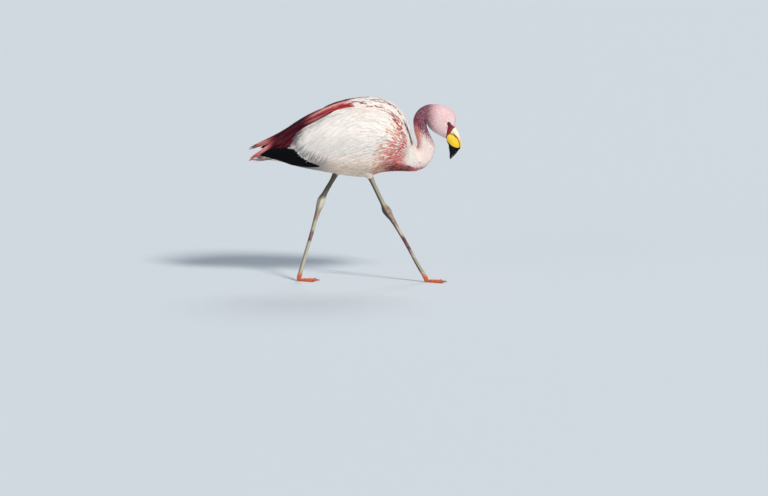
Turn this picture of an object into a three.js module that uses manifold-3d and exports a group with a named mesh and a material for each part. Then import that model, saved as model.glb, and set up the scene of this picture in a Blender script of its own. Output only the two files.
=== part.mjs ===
// Puna flamingo (James's flamingo, Phoenicoparrus jamesi), life size, as a still walking figure.
// The head is lowered, the neck folded in a tight S, the right leg is forward and the left leg back.
// Millimetres, +Z up. The bird faces +X and its left side is +Y. The soles stand on Z = 0, and the
// origin is on the floor under the middle of the bird's box.

import * as THREE from "three";
import { mergeVertices } from "three/addons/utils/BufferGeometryUtils.js";
import Module from "manifold-3d";

const wasm = await Module();
wasm.setup();

// ---------------------------------------------------------------- driving dimensions

const CLEARANCE = 0.35; // between neighbouring pieces
const SQUARENESS = 2.15; // exponent of the body's rounded sections, 2 is an ellipse
const BODY_SIDES = 20; // facets round the body, neck and head
const BODY_STEP = 0.6; // spacing of the body's sections, in rows of bodyRows
const LIMB_SIDES = 10;
const BUNDLE_SIDES = 8; // round a bundle of long feathers

// Profile of body, neck and head, from the rump to the base of the bill, outside the feathers.
// Each row is one section: dorsal point x, z, ventral point x, z, and half its width.
const bodyRows = [
  // rump and belly
  [-217.5, 334, -220, 307, 10],
  [-197.5, 348.5, -200, 303.5, 18],
  [-172.5, 363.5, -175, 300.5, 28],
  [-140, 388, -142.5, 290, 42],
  [-100, 415, -102.5, 282, 56],
  [-57.5, 440, -60, 274.5, 66],
  [-15, 456, -15, 267, 72],
  [27.5, 463, 27.5, 265, 74],
  [65, 459, 65, 276, 72],
  // breast
  [92.5, 448, 95, 279, 67],
  [114, 430.5, 117.5, 279, 59],
  [130, 405.5, 135, 278.5, 48],
  [141, 376, 147.5, 278.5, 37],
  [147.5, 350.5, 157.5, 280.5, 29.5],
  // lower bend of the neck
  [151.5, 337, 172.5, 286.5, 25.5],
  [154, 337.5, 189, 303, 23],
  [155.5, 344, 199, 327, 21],
  // rising neck
  [155, 353.5, 197.5, 348.5, 19.5],
  [151.5, 366, 192, 361, 18.3],
  [148, 378.5, 185.5, 374, 17.2],
  [146, 393, 180.5, 386.5, 16.5],
  // upper bend of the neck
  [145.5, 406.5, 177.5, 395.5, 16.5],
  [150, 421, 176.5, 399, 17],
  [161, 435, 177.5, 400.5, 17.5],
  [177.5, 444, 179.5, 397, 19],
  // head
  [196, 446.5, 184.5, 388, 21],
  [215, 444.5, 192.5, 380, 23],
  [231, 439, 202.5, 373, 24.5],
  [244, 429, 213.5, 367, 24],
  [251, 416.5, 221, 363, 21.5],
  [252, 401.5, 225.5, 360.5, 18],
  [251, 388, 227.5, 359, 13.5],
];
const LAST_BODY_ROW = bodyRows.length - 1;

// Where the body is parted, in rows of bodyRows.
const bodyParts = {
  trunk: [0, 13.4],
  neck_base: [13.4, 16.3],
  neck_middle: [16.3, 20.2],
  neck_upper: [20.2, 24],
  head: [24, LAST_BODY_ROW],
};

// Bill: culmen x, z, underside x, z, half the width, and the share of the depth above the gape.
const billRows = [
  [251, 388, 227.5, 359, 12.5, 0.58],
  [257, 376.5, 228.5, 354, 12.8, 0.36],
  [261.5, 364.5, 231, 349, 12.6, 0.2],
  [264.5, 351, 233.5, 344, 11.8, 0.14],
  [264, 339, 235.5, 337, 10, 0.14],
  [258, 330.5, 237.5, 331, 8, 0.18],
  [251, 321, 238.5, 324, 5.5, 0.26],
  [244, 313.5, 238, 316, 3.2, 0.38],
  [240, 308.5, 237.3, 310, 1.6, 0.5],
];
const UPPER_BILL_WIDTH = 0.86; // of the lower bill's, which closes round it

const eye = { x: 234, z: 399.5, radius: 4.6, sunk: 2.4 };

// Folded wing on the trunk: rows along the body, angles round it from the side towards the back.
const wing = {
  thickness: 8,
  rim: 1.2,
  lowAngle: -55,
  highAngle: 53,
  rearRow: 2.2,
  rearLevel: 12, // angle of the rearmost covert
  rearSweep: { below: 2, above: 1 },
  frontRow: 11,
  frontLevel: 10, // angle of the wrist
  frontSweep: { below: 3, above: 0.7 },
};

// Long back plumes: the part that lies on the back, thin over the shoulders and deep over the rump.
const mantle = {
  lowAngle: 55,
  highAngle: 89.6,
  rearRow: 1.4,
  frontRow: 11.4,
  shoulderDepth: 4.5,
  rumpDepth: 12.5,
  deepensOver: [4.4, 6.8], // rows
  thinsOver: [1.2, 3.8], // rows, towards the tail
  edge: 0.25, // share of the depth left at the front and rear edges
};

// Free bundles behind it: x, y, z of the middle, half the height, half the thickness.
const plumeRows = {
  right: [
    [-45, -33, 436, 4, 9],
    [-68, -34, 425, 11, 20],
    [-100, -33, 411, 13, 19],
    [-137.5, -29, 392, 13, 15],
    [-172.5, -25, 368, 12.5, 11],
    [-200, -21, 349, 11, 8],
    [-227.5, -17, 331, 7.5, 5.5],
    [-247.5, -14, 318, 4.5, 3.5],
    [-266, -12, 305, 1.2, 1.4],
  ],
  left: [
    [-45, 33, 436, 4, 9],
    [-68, 34, 426, 11, 20],
    [-100, 33, 413, 13, 19],
    [-137.5, 29, 393, 13, 15],
    [-172.5, 25, 371, 12, 11],
    [-200, 22, 358, 10, 8],
    [-227.5, 19, 347, 7, 5.5],
    [-247.5, 16, 339.5, 4.5, 3.5],
    [-266, 14, 332.5, 1.2, 1.4],
  ],
};

// Black flight feathers below the coverts, on the bird's right; the left has the same.
const flightRows = [
  [-84, -50, 294, 2.5, 4],
  [-112, -47, 305, 8, 5],
  [-140, -43, 319, 15.5, 5.5],
  [-165, -38, 327, 17.5, 5],
  [-190, -32, 327, 14, 4.5],
  [-215, -27, 322.5, 8.5, 3.5],
  [-238, -23, 319, 1.5, 1.5],
];
const leftFlight = { outward: 6, rise: 12 }; // the left wing is folded a little higher and looser

// Tail with its under-coverts: x, y, z, half the height, half the width.
const tailRows = [
  [-170, 0, 321, 13, 19],
  [-190, 0, 316, 11, 20],
  [-210, 0, 312.5, 8, 20],
  [-232, 0, 310, 5.5, 17],
  [-250, 0, 308, 3, 11],
  [-262, 0, 306.5, 1, 4],
];

// Legs: x, y, z, half the fore-and-aft depth, half the width.
const legRows = {
  right: [
    [16, -34, 308, 29, 24],
    [31, -28, 281, 18, 15],
    [38.5, -23, 265.5, 8, 7.5],
    [46, -21, 249, 5.8, 5.8],
    [60, -18, 218.5, 5.6, 5.5],
    [70, -16, 198, 6.2, 6],
    [77, -15, 184.5, 10.4, 7.8],
    [83.5, -14.5, 174, 10, 7.8],
    [92, -14, 160, 6.6, 6.2],
    [102.5, -13, 142, 5.2, 5],
    [119, -12, 113.5, 4.6, 4.5],
    [137.5, -10.5, 79.5, 4.4, 4.3],
    [157.5, -9.5, 42, 4.7, 4.5],
    [171, -9, 20, 5.3, 5],
    [178, -9, 7, 5.6, 5.4],
  ],
  left: [
    [-25, 34, 302, 27, 24],
    [-41, 28, 280, 15, 14],
    [-49.5, 23, 266.5, 7.8, 7.5],
    [-57.5, 20, 252, 5.8, 5.7],
    [-70, 17, 231, 6, 5.8],
    [-77.5, 16, 217, 7, 6.4],
    [-83.5, 15, 204, 10, 7.8],
    [-88, 14.5, 190, 9.4, 7.6],
    [-93, 14, 175, 6.6, 6.2],
    [-99, 13, 155, 5.4, 5.2],
    [-110, 12, 115.5, 4.7, 4.6],
    [-122.5, 10.5, 73.5, 4.5, 4.4],
    [-132.5, 9.5, 38, 4.9, 4.6],
    [-138, 9, 18, 5.5, 5.2],
    [-140.5, 9, 7, 5.6, 5.4],
  ],
};
// Where each leg is parted, in rows of legRows.
const legParts = { thigh: [0, 2.5], shank: [2.5, 5], ankle: [5, 8.4], tarsus: [8.4, 13.2] };
const FOOT_FROM_ROW = 13.2;

// Three webbed toes; this genus has no hind toe. The spread turns outward.
const toes = [
  { name: "inner", length: 40, spread: -30, height: 6, width: 3.2 },
  { name: "middle", length: 47, spread: 0, height: 6.8, width: 3.6 },
  { name: "outer", length: 45, spread: 27, height: 6.4, width: 3.4 },
];
const toeTaper = { width: 0.38, height: 0.45 }; // lost from root to tip
const toePads = { count: 3, swell: 0.08 };
const footTurn = { right: -4, left: 3 }; // degrees, heading of the middle toe
const web = { thickness: 1.3, lift: 0.25, reach: 0.86, notch: 0.74 }; // the last two are shares of a toe
const HEEL_RADIUS = 5.8;
const claw = { length: 5.5, radius: 1.7, taper: 0.82 };

// ---------------------------------------------------------------- colours

const finish = (color, roughness) => new THREE.MeshStandardMaterial({ color, roughness, metalness: 0 });
const materials = {
  plumage: finish(0xf2e4df, 0.9),
  pink: finish(0xe0a6ac, 0.9),
  crimson: finish(0xb5303f, 0.85),
  black: finish(0x111013, 0.6),
  billYellow: finish(0xf1c21b, 0.45),
  billCream: finish(0xeedf9e, 0.45),
  eye: finish(0x2a1208, 0.1),
  leg: finish(0xb09a86, 0.75),
  foot: finish(0xd5502f, 0.6),
  claw: finish(0x2b2320, 0.5),
};

// ---------------------------------------------------------------- curves and solids

const radians = THREE.MathUtils.degToRad;
const vector = (x, y, z) => new THREE.Vector3(x, y, z);
const ACROSS = vector(0, 1, 0);
const UP = vector(0, 0, 1);
const signedPower = (value, power) => Math.sign(value) * Math.abs(value) ** power;

// Catmull-Rom between the rows of a table, column by column.
function between(rows, t) {
  const last = rows.length - 1;
  const i = Math.min(Math.max(Math.floor(t), 0), last - 1);
  const f = t - i;
  const row = (k) => rows[Math.min(Math.max(k, 0), last)];
  return rows[0].map((_, column) => {
    const [a, b, c, d] = [-1, 0, 1, 2].map((k) => row(i + k)[column]);
    const [slope, bend, twist] = [c - a, 2 * a - 5 * b + 4 * c - d, 3 * b - a - 3 * c + d];
    return 0.5 * (2 * b + slope * f + bend * f ** 2 + twist * f ** 3);
  });
}

// Even steps from one row to another, ends included.
function steps(from, to, spacing) {
  const count = Math.max(1, Math.round((to - from) / spacing));
  return Array.from({ length: count + 1 }, (_, i) => from + ((to - from) * i) / count);
}

// Points round a section. across and up are unit vectors, and the half sizes lie along them.
function ring(centre, across, up, halfWidth, halfHeight, sides, squareness = 2) {
  return Array.from({ length: sides }, (_, i) => {
    const angle = (2 * Math.PI * i) / sides;
    return centre
      .clone()
      .addScaledVector(across, halfWidth * signedPower(Math.cos(angle), 2 / squareness))
      .addScaledVector(up, halfHeight * signedPower(Math.sin(angle), 2 / squareness));
  });
}

function closedGeometry(points, triangles) {
  const geometry = new THREE.BufferGeometry().setFromPoints(points);
  geometry.setIndex(triangles);
  const volume = triangles.reduce((sum, _, i) => {
    if (i % 3) return sum;
    const [a, b, c] = [0, 1, 2].map((k) => points[triangles[i + k]]);
    return sum + a.dot(b.clone().cross(c));
  }, 0);
  if (volume < 0) geometry.setIndex(triangles.map((_, i) => triangles[i - (i % 3) + 2 - (i % 3)]));
  return geometry;
}

// Skin over a row of equal rings, closed at both ends by a fan.
function loft(rings) {
  const sides = rings[0].length;
  const points = rings.flat();
  const triangles = [];
  const at = (r, k) => r * sides + (k % sides);
  for (let r = 0; r + 1 < rings.length; r++) {
    for (let k = 0; k < sides; k++) {
      triangles.push(at(r, k), at(r, k + 1), at(r + 1, k + 1), at(r, k), at(r + 1, k + 1), at(r + 1, k));
    }
  }
  [0, rings.length - 1].forEach((r) => {
    const middle = rings[r].reduce((sum, p) => sum.add(p), vector(0, 0, 0)).divideScalar(sides);
    const hub = points.push(middle) - 1;
    for (let k = 0; k < sides; k++) {
      if (r) triangles.push(hub, at(r, k), at(r, k + 1));
      else triangles.push(hub, at(r, k + 1), at(r, k));
    }
  });
  return closedGeometry(points, triangles);
}

// Shell between two grids of points of the same size.
function shell(outer, inner) {
  const [rows, columns] = [outer.length, outer[0].length];
  const points = [...outer.flat(), ...inner.flat()];
  const triangles = [];
  const at = (side, r, c) => side * rows * columns + r * columns + c;
  const quad = (a, b, c, d) => triangles.push(a, b, c, a, c, d);
  for (let r = 0; r + 1 < rows; r++) {
    for (let c = 0; c + 1 < columns; c++) {
      quad(at(0, r, c), at(0, r, c + 1), at(0, r + 1, c + 1), at(0, r + 1, c));
      quad(at(1, r, c), at(1, r + 1, c), at(1, r + 1, c + 1), at(1, r, c + 1));
    }
    quad(at(0, r, 0), at(0, r + 1, 0), at(1, r + 1, 0), at(1, r, 0));
    quad(at(0, r + 1, columns - 1), at(0, r, columns - 1), at(1, r, columns - 1), at(1, r + 1, columns - 1));
  }
  for (let c = 0; c + 1 < columns; c++) {
    quad(at(0, 0, c + 1), at(0, 0, c), at(1, 0, c), at(1, 0, c + 1));
    quad(at(0, rows - 1, c), at(0, rows - 1, c + 1), at(1, rows - 1, c + 1), at(1, rows - 1, c));
  }
  return closedGeometry(points, triangles);
}

function solidOf(geometry) {
  const bare = new THREE.BufferGeometry();
  bare.setAttribute("position", geometry.getAttribute("position"));
  if (geometry.index) bare.setIndex(geometry.index);
  const merged = mergeVertices(bare, 1e-4);
  return new wasm.Manifold(
    new wasm.Mesh({
      numProp: 3,
      vertProperties: merged.attributes.position.array,
      triVerts: new Uint32Array(merged.index.array),
    }),
  );
}

function geometryOf(solid) {
  const mesh = solid.getMesh();
  const geometry = new THREE.BufferGeometry();
  geometry.setAttribute("position", new THREE.BufferAttribute(Float32Array.from(mesh.vertProperties), 3));
  geometry.setIndex(new THREE.BufferAttribute(Uint32Array.from(mesh.triVerts), 1));
  return geometry;
}

// The solid without its cutters; crumbs that a cut leaves loose are dropped.
function cut(solid, ...cutters) {
  const left = cutters.reduce((rest, cutter) => rest.subtract(cutter), solid);
  return left.decompose().reduce((best, piece) => (piece.volume() > best.volume() ? piece : best));
}

// ---------------------------------------------------------------- body, neck and head

function bodySection(t) {
  const [dorsalX, dorsalZ, ventralX, ventralZ, halfWidth] = between(bodyRows, t);
  const dorsal = vector(dorsalX, 0, dorsalZ);
  const ventral = vector(ventralX, 0, ventralZ);
  const up = dorsal.clone().sub(ventral).normalize();
  return {
    centre: dorsal.clone().add(ventral).multiplyScalar(0.5),
    up,
    forward: vector(up.z, 0, -up.x),
    halfHeight: dorsal.distanceTo(ventral) / 2,
    halfWidth,
  };
}

function bodyRing(t, grow, shift) {
  const { centre, up, forward, halfHeight, halfWidth } = bodySection(t);
  const middle = centre.clone().addScaledVector(forward, shift);
  return ring(middle, ACROSS, up, halfWidth + grow, halfHeight + grow, BODY_SIDES, SQUARENESS);
}

function bodyPiece([from, to], grow = 0) {
  const rows = steps(from, to, BODY_STEP);
  const gap = CLEARANCE / 2;
  return loft(rows.map((t, i) => bodyRing(t, grow, i === 0 ? gap : i === rows.length - 1 ? -gap : 0)));
}

// A point on the trunk: the angle is 0 at the side and 90 degrees on the back. side is 1 for the left.
function bodyPoint(t, degrees, side) {
  const { centre, up, halfHeight, halfWidth } = bodySection(t);
  const angle = radians(degrees);
  return centre
    .addScaledVector(ACROSS, side * halfWidth * signedPower(Math.cos(angle), 2 / SQUARENESS))
    .addScaledVector(up, halfHeight * signedPower(Math.sin(angle), 2 / SQUARENESS));
}

function bodyNormal(t, degrees, side) {
  const along = bodyPoint(t + 0.05, degrees, side).sub(bodyPoint(t - 0.05, degrees, side));
  const around = bodyPoint(t, degrees + 1, side).sub(bodyPoint(t, degrees - 1, side));
  return along.cross(around).multiplyScalar(-side).normalize();
}

const LAYER_ROOT = 1; // how deep a layer starts under the surface, before the trunk is cut out of it

// A layer that lies on the trunk: row(u, v) and angle(v) place it, thickness(u, v) lifts its outside.
function layer(side, row, angle, thickness, [rows, columns], grow) {
  const grid = (lift) =>
    steps(0, 1, 1 / rows).map((u) =>
      steps(0, 1, 1 / columns).map((v) => {
        const [t, degrees] = [row(u, v), angle(v)];
        return bodyPoint(t, degrees, side).addScaledVector(bodyNormal(t, degrees, side), lift(u, v));
      }),
    );
  return shell(
    grid((u, v) => thickness(u, v) + CLEARANCE + grow),
    grid(() => -LAYER_ROOT),
  );
}

const bulge = (share, power) => 1 - Math.abs(2 * share - 1) ** power;
const towards = (level, angle, span) => Math.max(0, (level - angle) / span);

function wingLayer(side, grow = 0) {
  const { lowAngle, highAngle, rearLevel, rearSweep, frontLevel, frontSweep } = wing;
  const spread = grow / 1.2; // degrees that the cutter is wider
  const angle = (v) => lowAngle - spread + (highAngle - lowAngle + 2 * spread) * v;
  const row = (u, v) => {
    const a = angle(v);
    const rear =
      wing.rearRow +
      rearSweep.below * towards(rearLevel, a, rearLevel - lowAngle) ** 1.6 +
      rearSweep.above * towards(-rearLevel, -a, highAngle - rearLevel) ** 1.6;
    const front =
      wing.frontRow -
      frontSweep.below * towards(frontLevel, a, frontLevel - lowAngle) ** 2 -
      frontSweep.above * towards(-frontLevel, -a, highAngle - frontLevel) ** 2;
    return rear - grow / 30 + (front - rear + grow / 15) * u;
  };
  const thickness = (u, v) => wing.rim + (wing.thickness - wing.rim) * bulge(u, 4) * bulge(v, 4);
  return layer(side, row, angle, thickness, [10, 7], grow);
}

// ---------------------------------------------------------------- bundles of long feathers

function bundle(rows, grow = 0) {
  return loft(
    steps(0, rows.length - 1, 0.5).map((t) => {
      const [x, y, z, halfHeight, halfWidth] = between(rows, t);
      return ring(vector(x, y, z), ACROSS, UP, halfWidth + grow, halfHeight + grow, BUNDLE_SIDES);
    }),
  );
}

function flightBundle(side, grow = 0) {
  const { outward, rise } = side > 0 ? leftFlight : { outward: 0, rise: 0 };
  const rows = flightRows.map(([x, y, z, ...half]) => [x, side * (outward - y), z + rise, ...half]);
  return bundle(rows, grow);
}

function mantleSolid(side, grow = 0) {
  const { lowAngle, highAngle, rearRow, frontRow, shoulderDepth, rumpDepth, edge } = mantle;
  const row = (u) => rearRow + (frontRow - rearRow) * u;
  const angle = (v) => lowAngle + (highAngle - lowAngle) * v;
  const smoothstep = THREE.MathUtils.smoothstep;
  const thickness = (u, v) => {
    const shoulder = smoothstep(row(u), ...mantle.deepensOver);
    const depth = rumpDepth + (shoulderDepth - rumpDepth) * shoulder;
    const front = edge + (1 - edge) * bulge(0.5 + u / 2, 6);
    const rear = edge + (1 - edge) * smoothstep(row(u), ...mantle.thinsOver);
    const side = edge + (1 - edge) * Math.sin((Math.PI / 2) * Math.min(1, 1.6 * v));
    return depth * front * rear * side;
  };
  const onBack = solidOf(layer(side, row, angle, thickness, [9, 4], grow));
  const free = solidOf(bundle(side > 0 ? plumeRows.left : plumeRows.right, grow));
  return onBack.add(free);
}

// ---------------------------------------------------------------- bill and eyes

function billPiece(upper) {
  const rings = steps(0, billRows.length - 1, 0.8).map((t, i) => {
    const [culmenX, culmenZ, underX, underZ, halfWidth, gape] = between(billRows, t);
    const culmen = vector(culmenX, 0, culmenZ);
    const under = vector(underX, 0, underZ);
    const up = culmen.clone().sub(under).normalize();
    const depth = culmen.distanceTo(under);
    const split = culmen.clone().addScaledVector(up, -gape * depth);
    const [top, bottom] = upper
      ? [culmen, split.clone().addScaledVector(up, CLEARANCE / 2)]
      : [split.clone().addScaledVector(up, -CLEARANCE / 2), under];
    const middle = top.clone().add(bottom).multiplyScalar(0.5);
    if (i === 0) middle.addScaledVector(vector(up.z, 0, -up.x), CLEARANCE);
    const width = halfWidth * (upper ? UPPER_BILL_WIDTH : 1);
    return ring(middle, ACROSS, up, width, top.distanceTo(bottom) / 2, 14, upper ? 2.6 : 2.3);
  });
  return loft(rings);
}

// Half the head's width beside a point of its profile.
function headSide(x, z) {
  let [low, high] = [24, LAST_BODY_ROW];
  for (let i = 0; i < 30; i++) {
    const middle = (low + high) / 2;
    const { centre, forward } = bodySection(middle);
    if (vector(x, 0, z).sub(centre).dot(forward) > 0) low = middle;
    else high = middle;
  }
  const { centre, up, halfHeight, halfWidth } = bodySection(low);
  const rise = Math.abs(vector(x, 0, z).sub(centre).dot(up)) / halfHeight;
  return halfWidth * (1 - rise ** SQUARENESS) ** (1 / SQUARENESS);
}

function eyeball(side, grow = 0) {
  const centre = vector(eye.x, side * (headSide(eye.x, eye.z) - eye.sunk), eye.z);
  return new THREE.SphereGeometry(eye.radius + grow, 12, 8).translate(...centre.toArray());
}

// ---------------------------------------------------------------- legs and feet

function limbRings(rows, [from, to], grow = 0) {
  const ts = steps(from, to, 0.5);
  return ts.map((t, i) => {
    const [x, y, z, halfDepth, halfWidth] = between(rows, t);
    const ahead = between(rows, Math.min(t + 0.05, rows.length - 1));
    const behind = between(rows, Math.max(t - 0.05, 0));
    const down = vector(...[0, 1, 2].map((k) => ahead[k] - behind[k])).normalize();
    const across = ACROSS.clone().addScaledVector(down, -down.y).normalize();
    const fore = across.clone().cross(down);
    const shift = i === 0 ? CLEARANCE / 2 : i === ts.length - 1 ? -CLEARANCE / 2 : 0;
    const centre = vector(x, y, z).addScaledVector(down, shift);
    return ring(centre, across, fore, halfWidth + grow, halfDepth + grow, LIMB_SIDES);
  });
}

const heading = (degrees) => vector(Math.cos(radians(degrees)), Math.sin(radians(degrees)), 0);

// A toe with three soft pads and a flat sole.
function toeGeometry(root, toe, degrees) {
  const along = heading(degrees);
  const across = heading(degrees + 90);
  const rings = steps(0, 1, 1 / 6).map((share) => {
    const pad = 1 + toePads.swell * Math.cos(share * 2 * Math.PI * toePads.count);
    const width = toe.width * (1 - toeTaper.width * share) * pad;
    const height = toe.height * (1 - toeTaper.height * share) * pad;
    const middle = root.clone().addScaledVector(along, toe.length * share);
    return ring(middle.setZ(height * 0.4), across, UP, width, height * 0.6, 8).map((p) =>
      p.setZ(Math.max(p.z, 0)),
    );
  });
  return loft(rings);
}

function webGeometry(root, tips) {
  const shape = new THREE.Shape();
  const flat = (p) => [p.x - root.x, p.y - root.y];
  shape.moveTo(...flat(root.clone().addScaledVector(heading(180), 1)));
  shape.lineTo(...flat(tips[0]));
  tips.slice(1).forEach((tip, i) => {
    const notch = tips[i].clone().add(tip).multiplyScalar(0.5).sub(root).multiplyScalar(web.notch).add(root);
    shape.quadraticCurveTo(...flat(notch), ...flat(tip));
  });
  shape.closePath();
  const options = { depth: web.thickness, bevelEnabled: false, curveSegments: 4 };
  const sheet = new THREE.ExtrudeGeometry(shape, options);
  return sheet.translate(root.x, root.y, web.lift);
}

function clawGeometry(tip, degrees) {
  const along = heading(degrees);
  const rings = steps(0, 1, 1 / 3).map((share) => {
    const thick = claw.radius * (1 - claw.taper * share);
    const middle = tip.clone().addScaledVector(along, CLEARANCE + claw.length * share);
    middle.z = thick + CLEARANCE;
    return ring(middle, heading(degrees + 90), UP, thick, thick, 6);
  });
  return loft(rings);
}

function makeFoot(label, side, group) {
  const rows = legRows[label];
  const [x, y] = rows.at(-1);
  const root = vector(x, y, 0);
  const angles = toes.map((toe) => footTurn[label] + side * toe.spread);
  const pieces = toes.map((toe, i) => solidOf(toeGeometry(root, toe, angles[i])));
  const tips = toes.map((toe, i) => root.clone().addScaledVector(heading(angles[i]), toe.length * web.reach));
  const order = side > 0 ? tips : [...tips].reverse();
  pieces.push(solidOf(webGeometry(root, order)));
  pieces.push(solidOf(loft(limbRings(rows, [FOOT_FROM_ROW, rows.length - 1]))));
  const heel = new THREE.SphereGeometry(HEEL_RADIUS, 8, 6).translate(x, y, HEEL_RADIUS);
  pieces.push(solidOf(heel));
  const whole = pieces.reduce((sum, piece) => sum.add(piece));
  group.add(named(`foot_${label}`, geometryOf(whole), materials.foot));
  toes.forEach((toe, i) => {
    const tip = root.clone().addScaledVector(heading(angles[i]), toe.length);
    group.add(named(`claw_${label}_${toe.name}`, clawGeometry(tip, angles[i]), materials.claw));
  });
}

// ---------------------------------------------------------------- the bird

function named(name, geometry, material) {
  const mesh = new THREE.Mesh(geometry, material);
  mesh.name = name;
  return mesh;
}

const bird = new THREE.Group();
const sides = [
  ["right", -1],
  ["left", 1],
];

const trunkCutter = solidOf(bodyPiece(bodyParts.trunk, CLEARANCE));
const eyeCutters = sides.map(([, side]) => solidOf(eyeball(side, CLEARANCE)));

for (const [name, span] of Object.entries(bodyParts)) {
  const material = name === "trunk" || name === "neck_base" ? materials.plumage : materials.pink;
  const piece = bodyPiece(span);
  const geometry = name === "head" ? geometryOf(cut(solidOf(piece), ...eyeCutters)) : piece;
  bird.add(named(name, geometry, material));
}

bird.add(named("bill_upper", billPiece(true), materials.billCream));
bird.add(named("bill_lower", billPiece(false), materials.billYellow));

const tailCutters = [trunkCutter];
for (const [label, side] of sides) {
  bird.add(named(`eye_${label}`, eyeball(side), materials.eye));

  const wingCutter = solidOf(wingLayer(side, CLEARANCE));
  const mantleCutter = mantleSolid(side, CLEARANCE);
  bird.add(named(`wing_${label}`, geometryOf(cut(solidOf(wingLayer(side)), trunkCutter)), materials.plumage));
  const plumes = cut(mantleSolid(side), trunkCutter, wingCutter);
  bird.add(named(`plumes_${label}`, geometryOf(plumes), materials.crimson));

  const flight = cut(solidOf(flightBundle(side)), trunkCutter, wingCutter, mantleCutter);
  bird.add(named(`flight_feathers_${label}`, geometryOf(flight), materials.black));
  tailCutters.push(mantleCutter, solidOf(flightBundle(side, CLEARANCE)));

  const leg = new THREE.Group();
  for (const [name, span] of Object.entries(legParts)) {
    const piece = loft(limbRings(legRows[label], span));
    const geometry = name === "thigh" ? geometryOf(cut(solidOf(piece), trunkCutter, wingCutter)) : piece;
    leg.add(named(`${name}_${label}`, geometry, name === "thigh" ? materials.plumage : materials.leg));
  }
  makeFoot(label, side, leg);
  bird.add(leg);
}

bird.add(named("tail", geometryOf(cut(solidOf(bundle(tailRows)), ...tailCutters)), materials.plumage));

// The origin is under the middle of the box.
const box = new THREE.Box3().setFromObject(bird, true);
const middle = box.getCenter(vector(0, 0, 0));
bird.position.set(-middle.x, -middle.y, -box.min.z);

export default bird;
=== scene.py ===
import math

import bmesh
import bpy
import numpy as np
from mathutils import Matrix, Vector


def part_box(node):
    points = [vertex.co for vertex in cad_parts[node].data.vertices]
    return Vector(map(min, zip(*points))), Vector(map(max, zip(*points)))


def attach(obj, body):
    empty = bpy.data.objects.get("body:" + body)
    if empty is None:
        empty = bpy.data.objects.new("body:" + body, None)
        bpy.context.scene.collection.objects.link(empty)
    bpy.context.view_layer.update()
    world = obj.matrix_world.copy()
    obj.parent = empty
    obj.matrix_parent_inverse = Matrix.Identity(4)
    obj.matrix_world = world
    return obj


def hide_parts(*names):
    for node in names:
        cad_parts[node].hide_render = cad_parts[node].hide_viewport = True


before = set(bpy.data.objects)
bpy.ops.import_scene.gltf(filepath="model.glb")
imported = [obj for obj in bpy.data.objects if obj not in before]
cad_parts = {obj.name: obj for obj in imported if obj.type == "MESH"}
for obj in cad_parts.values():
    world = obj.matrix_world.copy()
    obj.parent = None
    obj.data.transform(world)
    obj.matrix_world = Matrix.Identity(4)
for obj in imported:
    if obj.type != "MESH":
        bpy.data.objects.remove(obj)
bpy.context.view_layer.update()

random = np.random.default_rng(20)

# Tables and helpers below work in millimetres, +X ahead, +Y to the bird's left, +Z up.
# toFrame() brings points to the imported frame, with the right eye as the common datum.
eyeSpot = {"x": 234, "z": 399.5, "radius": 4.6, "sunk": 2.4}
eyeLow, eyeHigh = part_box("eye_right")
shiftX = (eyeLow.x + eyeHigh.x) * 500 - eyeSpot["x"]


def toFrame(points):
    return (np.asarray(points, float) + (shiftX, 0, 0)) / 1000


# Camera, floor, light
view = {
    "distance": 12.0,  # metres
    "elevation": 8,  # degrees above the floor
    "across": 1.92,  # metres shown across the picture
    "aimX": 72.5,  # mm
    "aimZ": 84.6,  # mm
    "sensor": 36,  # mm
    "farEnd": 60,  # metres
}
sinView = math.sin(math.radians(view["elevation"]))
cosView = math.cos(math.radians(view["elevation"]))


def addCamera():
    data = bpy.data.cameras.new("camera")
    data.sensor_width = view["sensor"]
    data.lens = view["sensor"] * view["distance"] / view["across"]
    data.clip_end = view["farEnd"]
    camera = bpy.data.objects.new("camera", data)
    aim = toFrame((view["aimX"], 0, view["aimZ"]))
    camera.location = aim + np.array((0, -cosView, sinView)) * view["distance"]
    camera.rotation_euler = (math.radians(90 - view["elevation"]), 0, 0)
    bpy.context.scene.collection.objects.link(camera)
    bpy.context.scene.camera = camera


studio = {
    "floorSize": 40,  # metres
    "floorColour": (0.70, 0.75, 0.80),
    "floorMottle": (0.8, 0.82, 0.84),
    "floorDrop": 0.0002,  # metres that it lies below the soles
    "worldColour": (0.62, 0.72, 0.84),
    "worldStrength": 0.32,
    # soft parallel lights: degrees to the right of the camera and up, strength, size in degrees, colour
    "lights": {
        "key": (36, 38, 2.7, 12, (1.0, 0.96, 0.90)),
        "fill": (-42, 12, 0.65, 40, (0.90, 0.95, 1.0)),
        "back": (160, 40, 0.7, 25, (0.94, 0.97, 1.0)),
    },
}


def addLight(name, azimuth, elevation, strength, size, colour):
    data = bpy.data.lights.new(name, "SUN")
    data.energy = strength
    data.angle = math.radians(size)
    data.color = colour
    light = bpy.data.objects.new(name, data)
    light.rotation_euler = (math.radians(90 - elevation), 0, math.radians(azimuth))
    bpy.context.scene.collection.objects.link(light)


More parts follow.
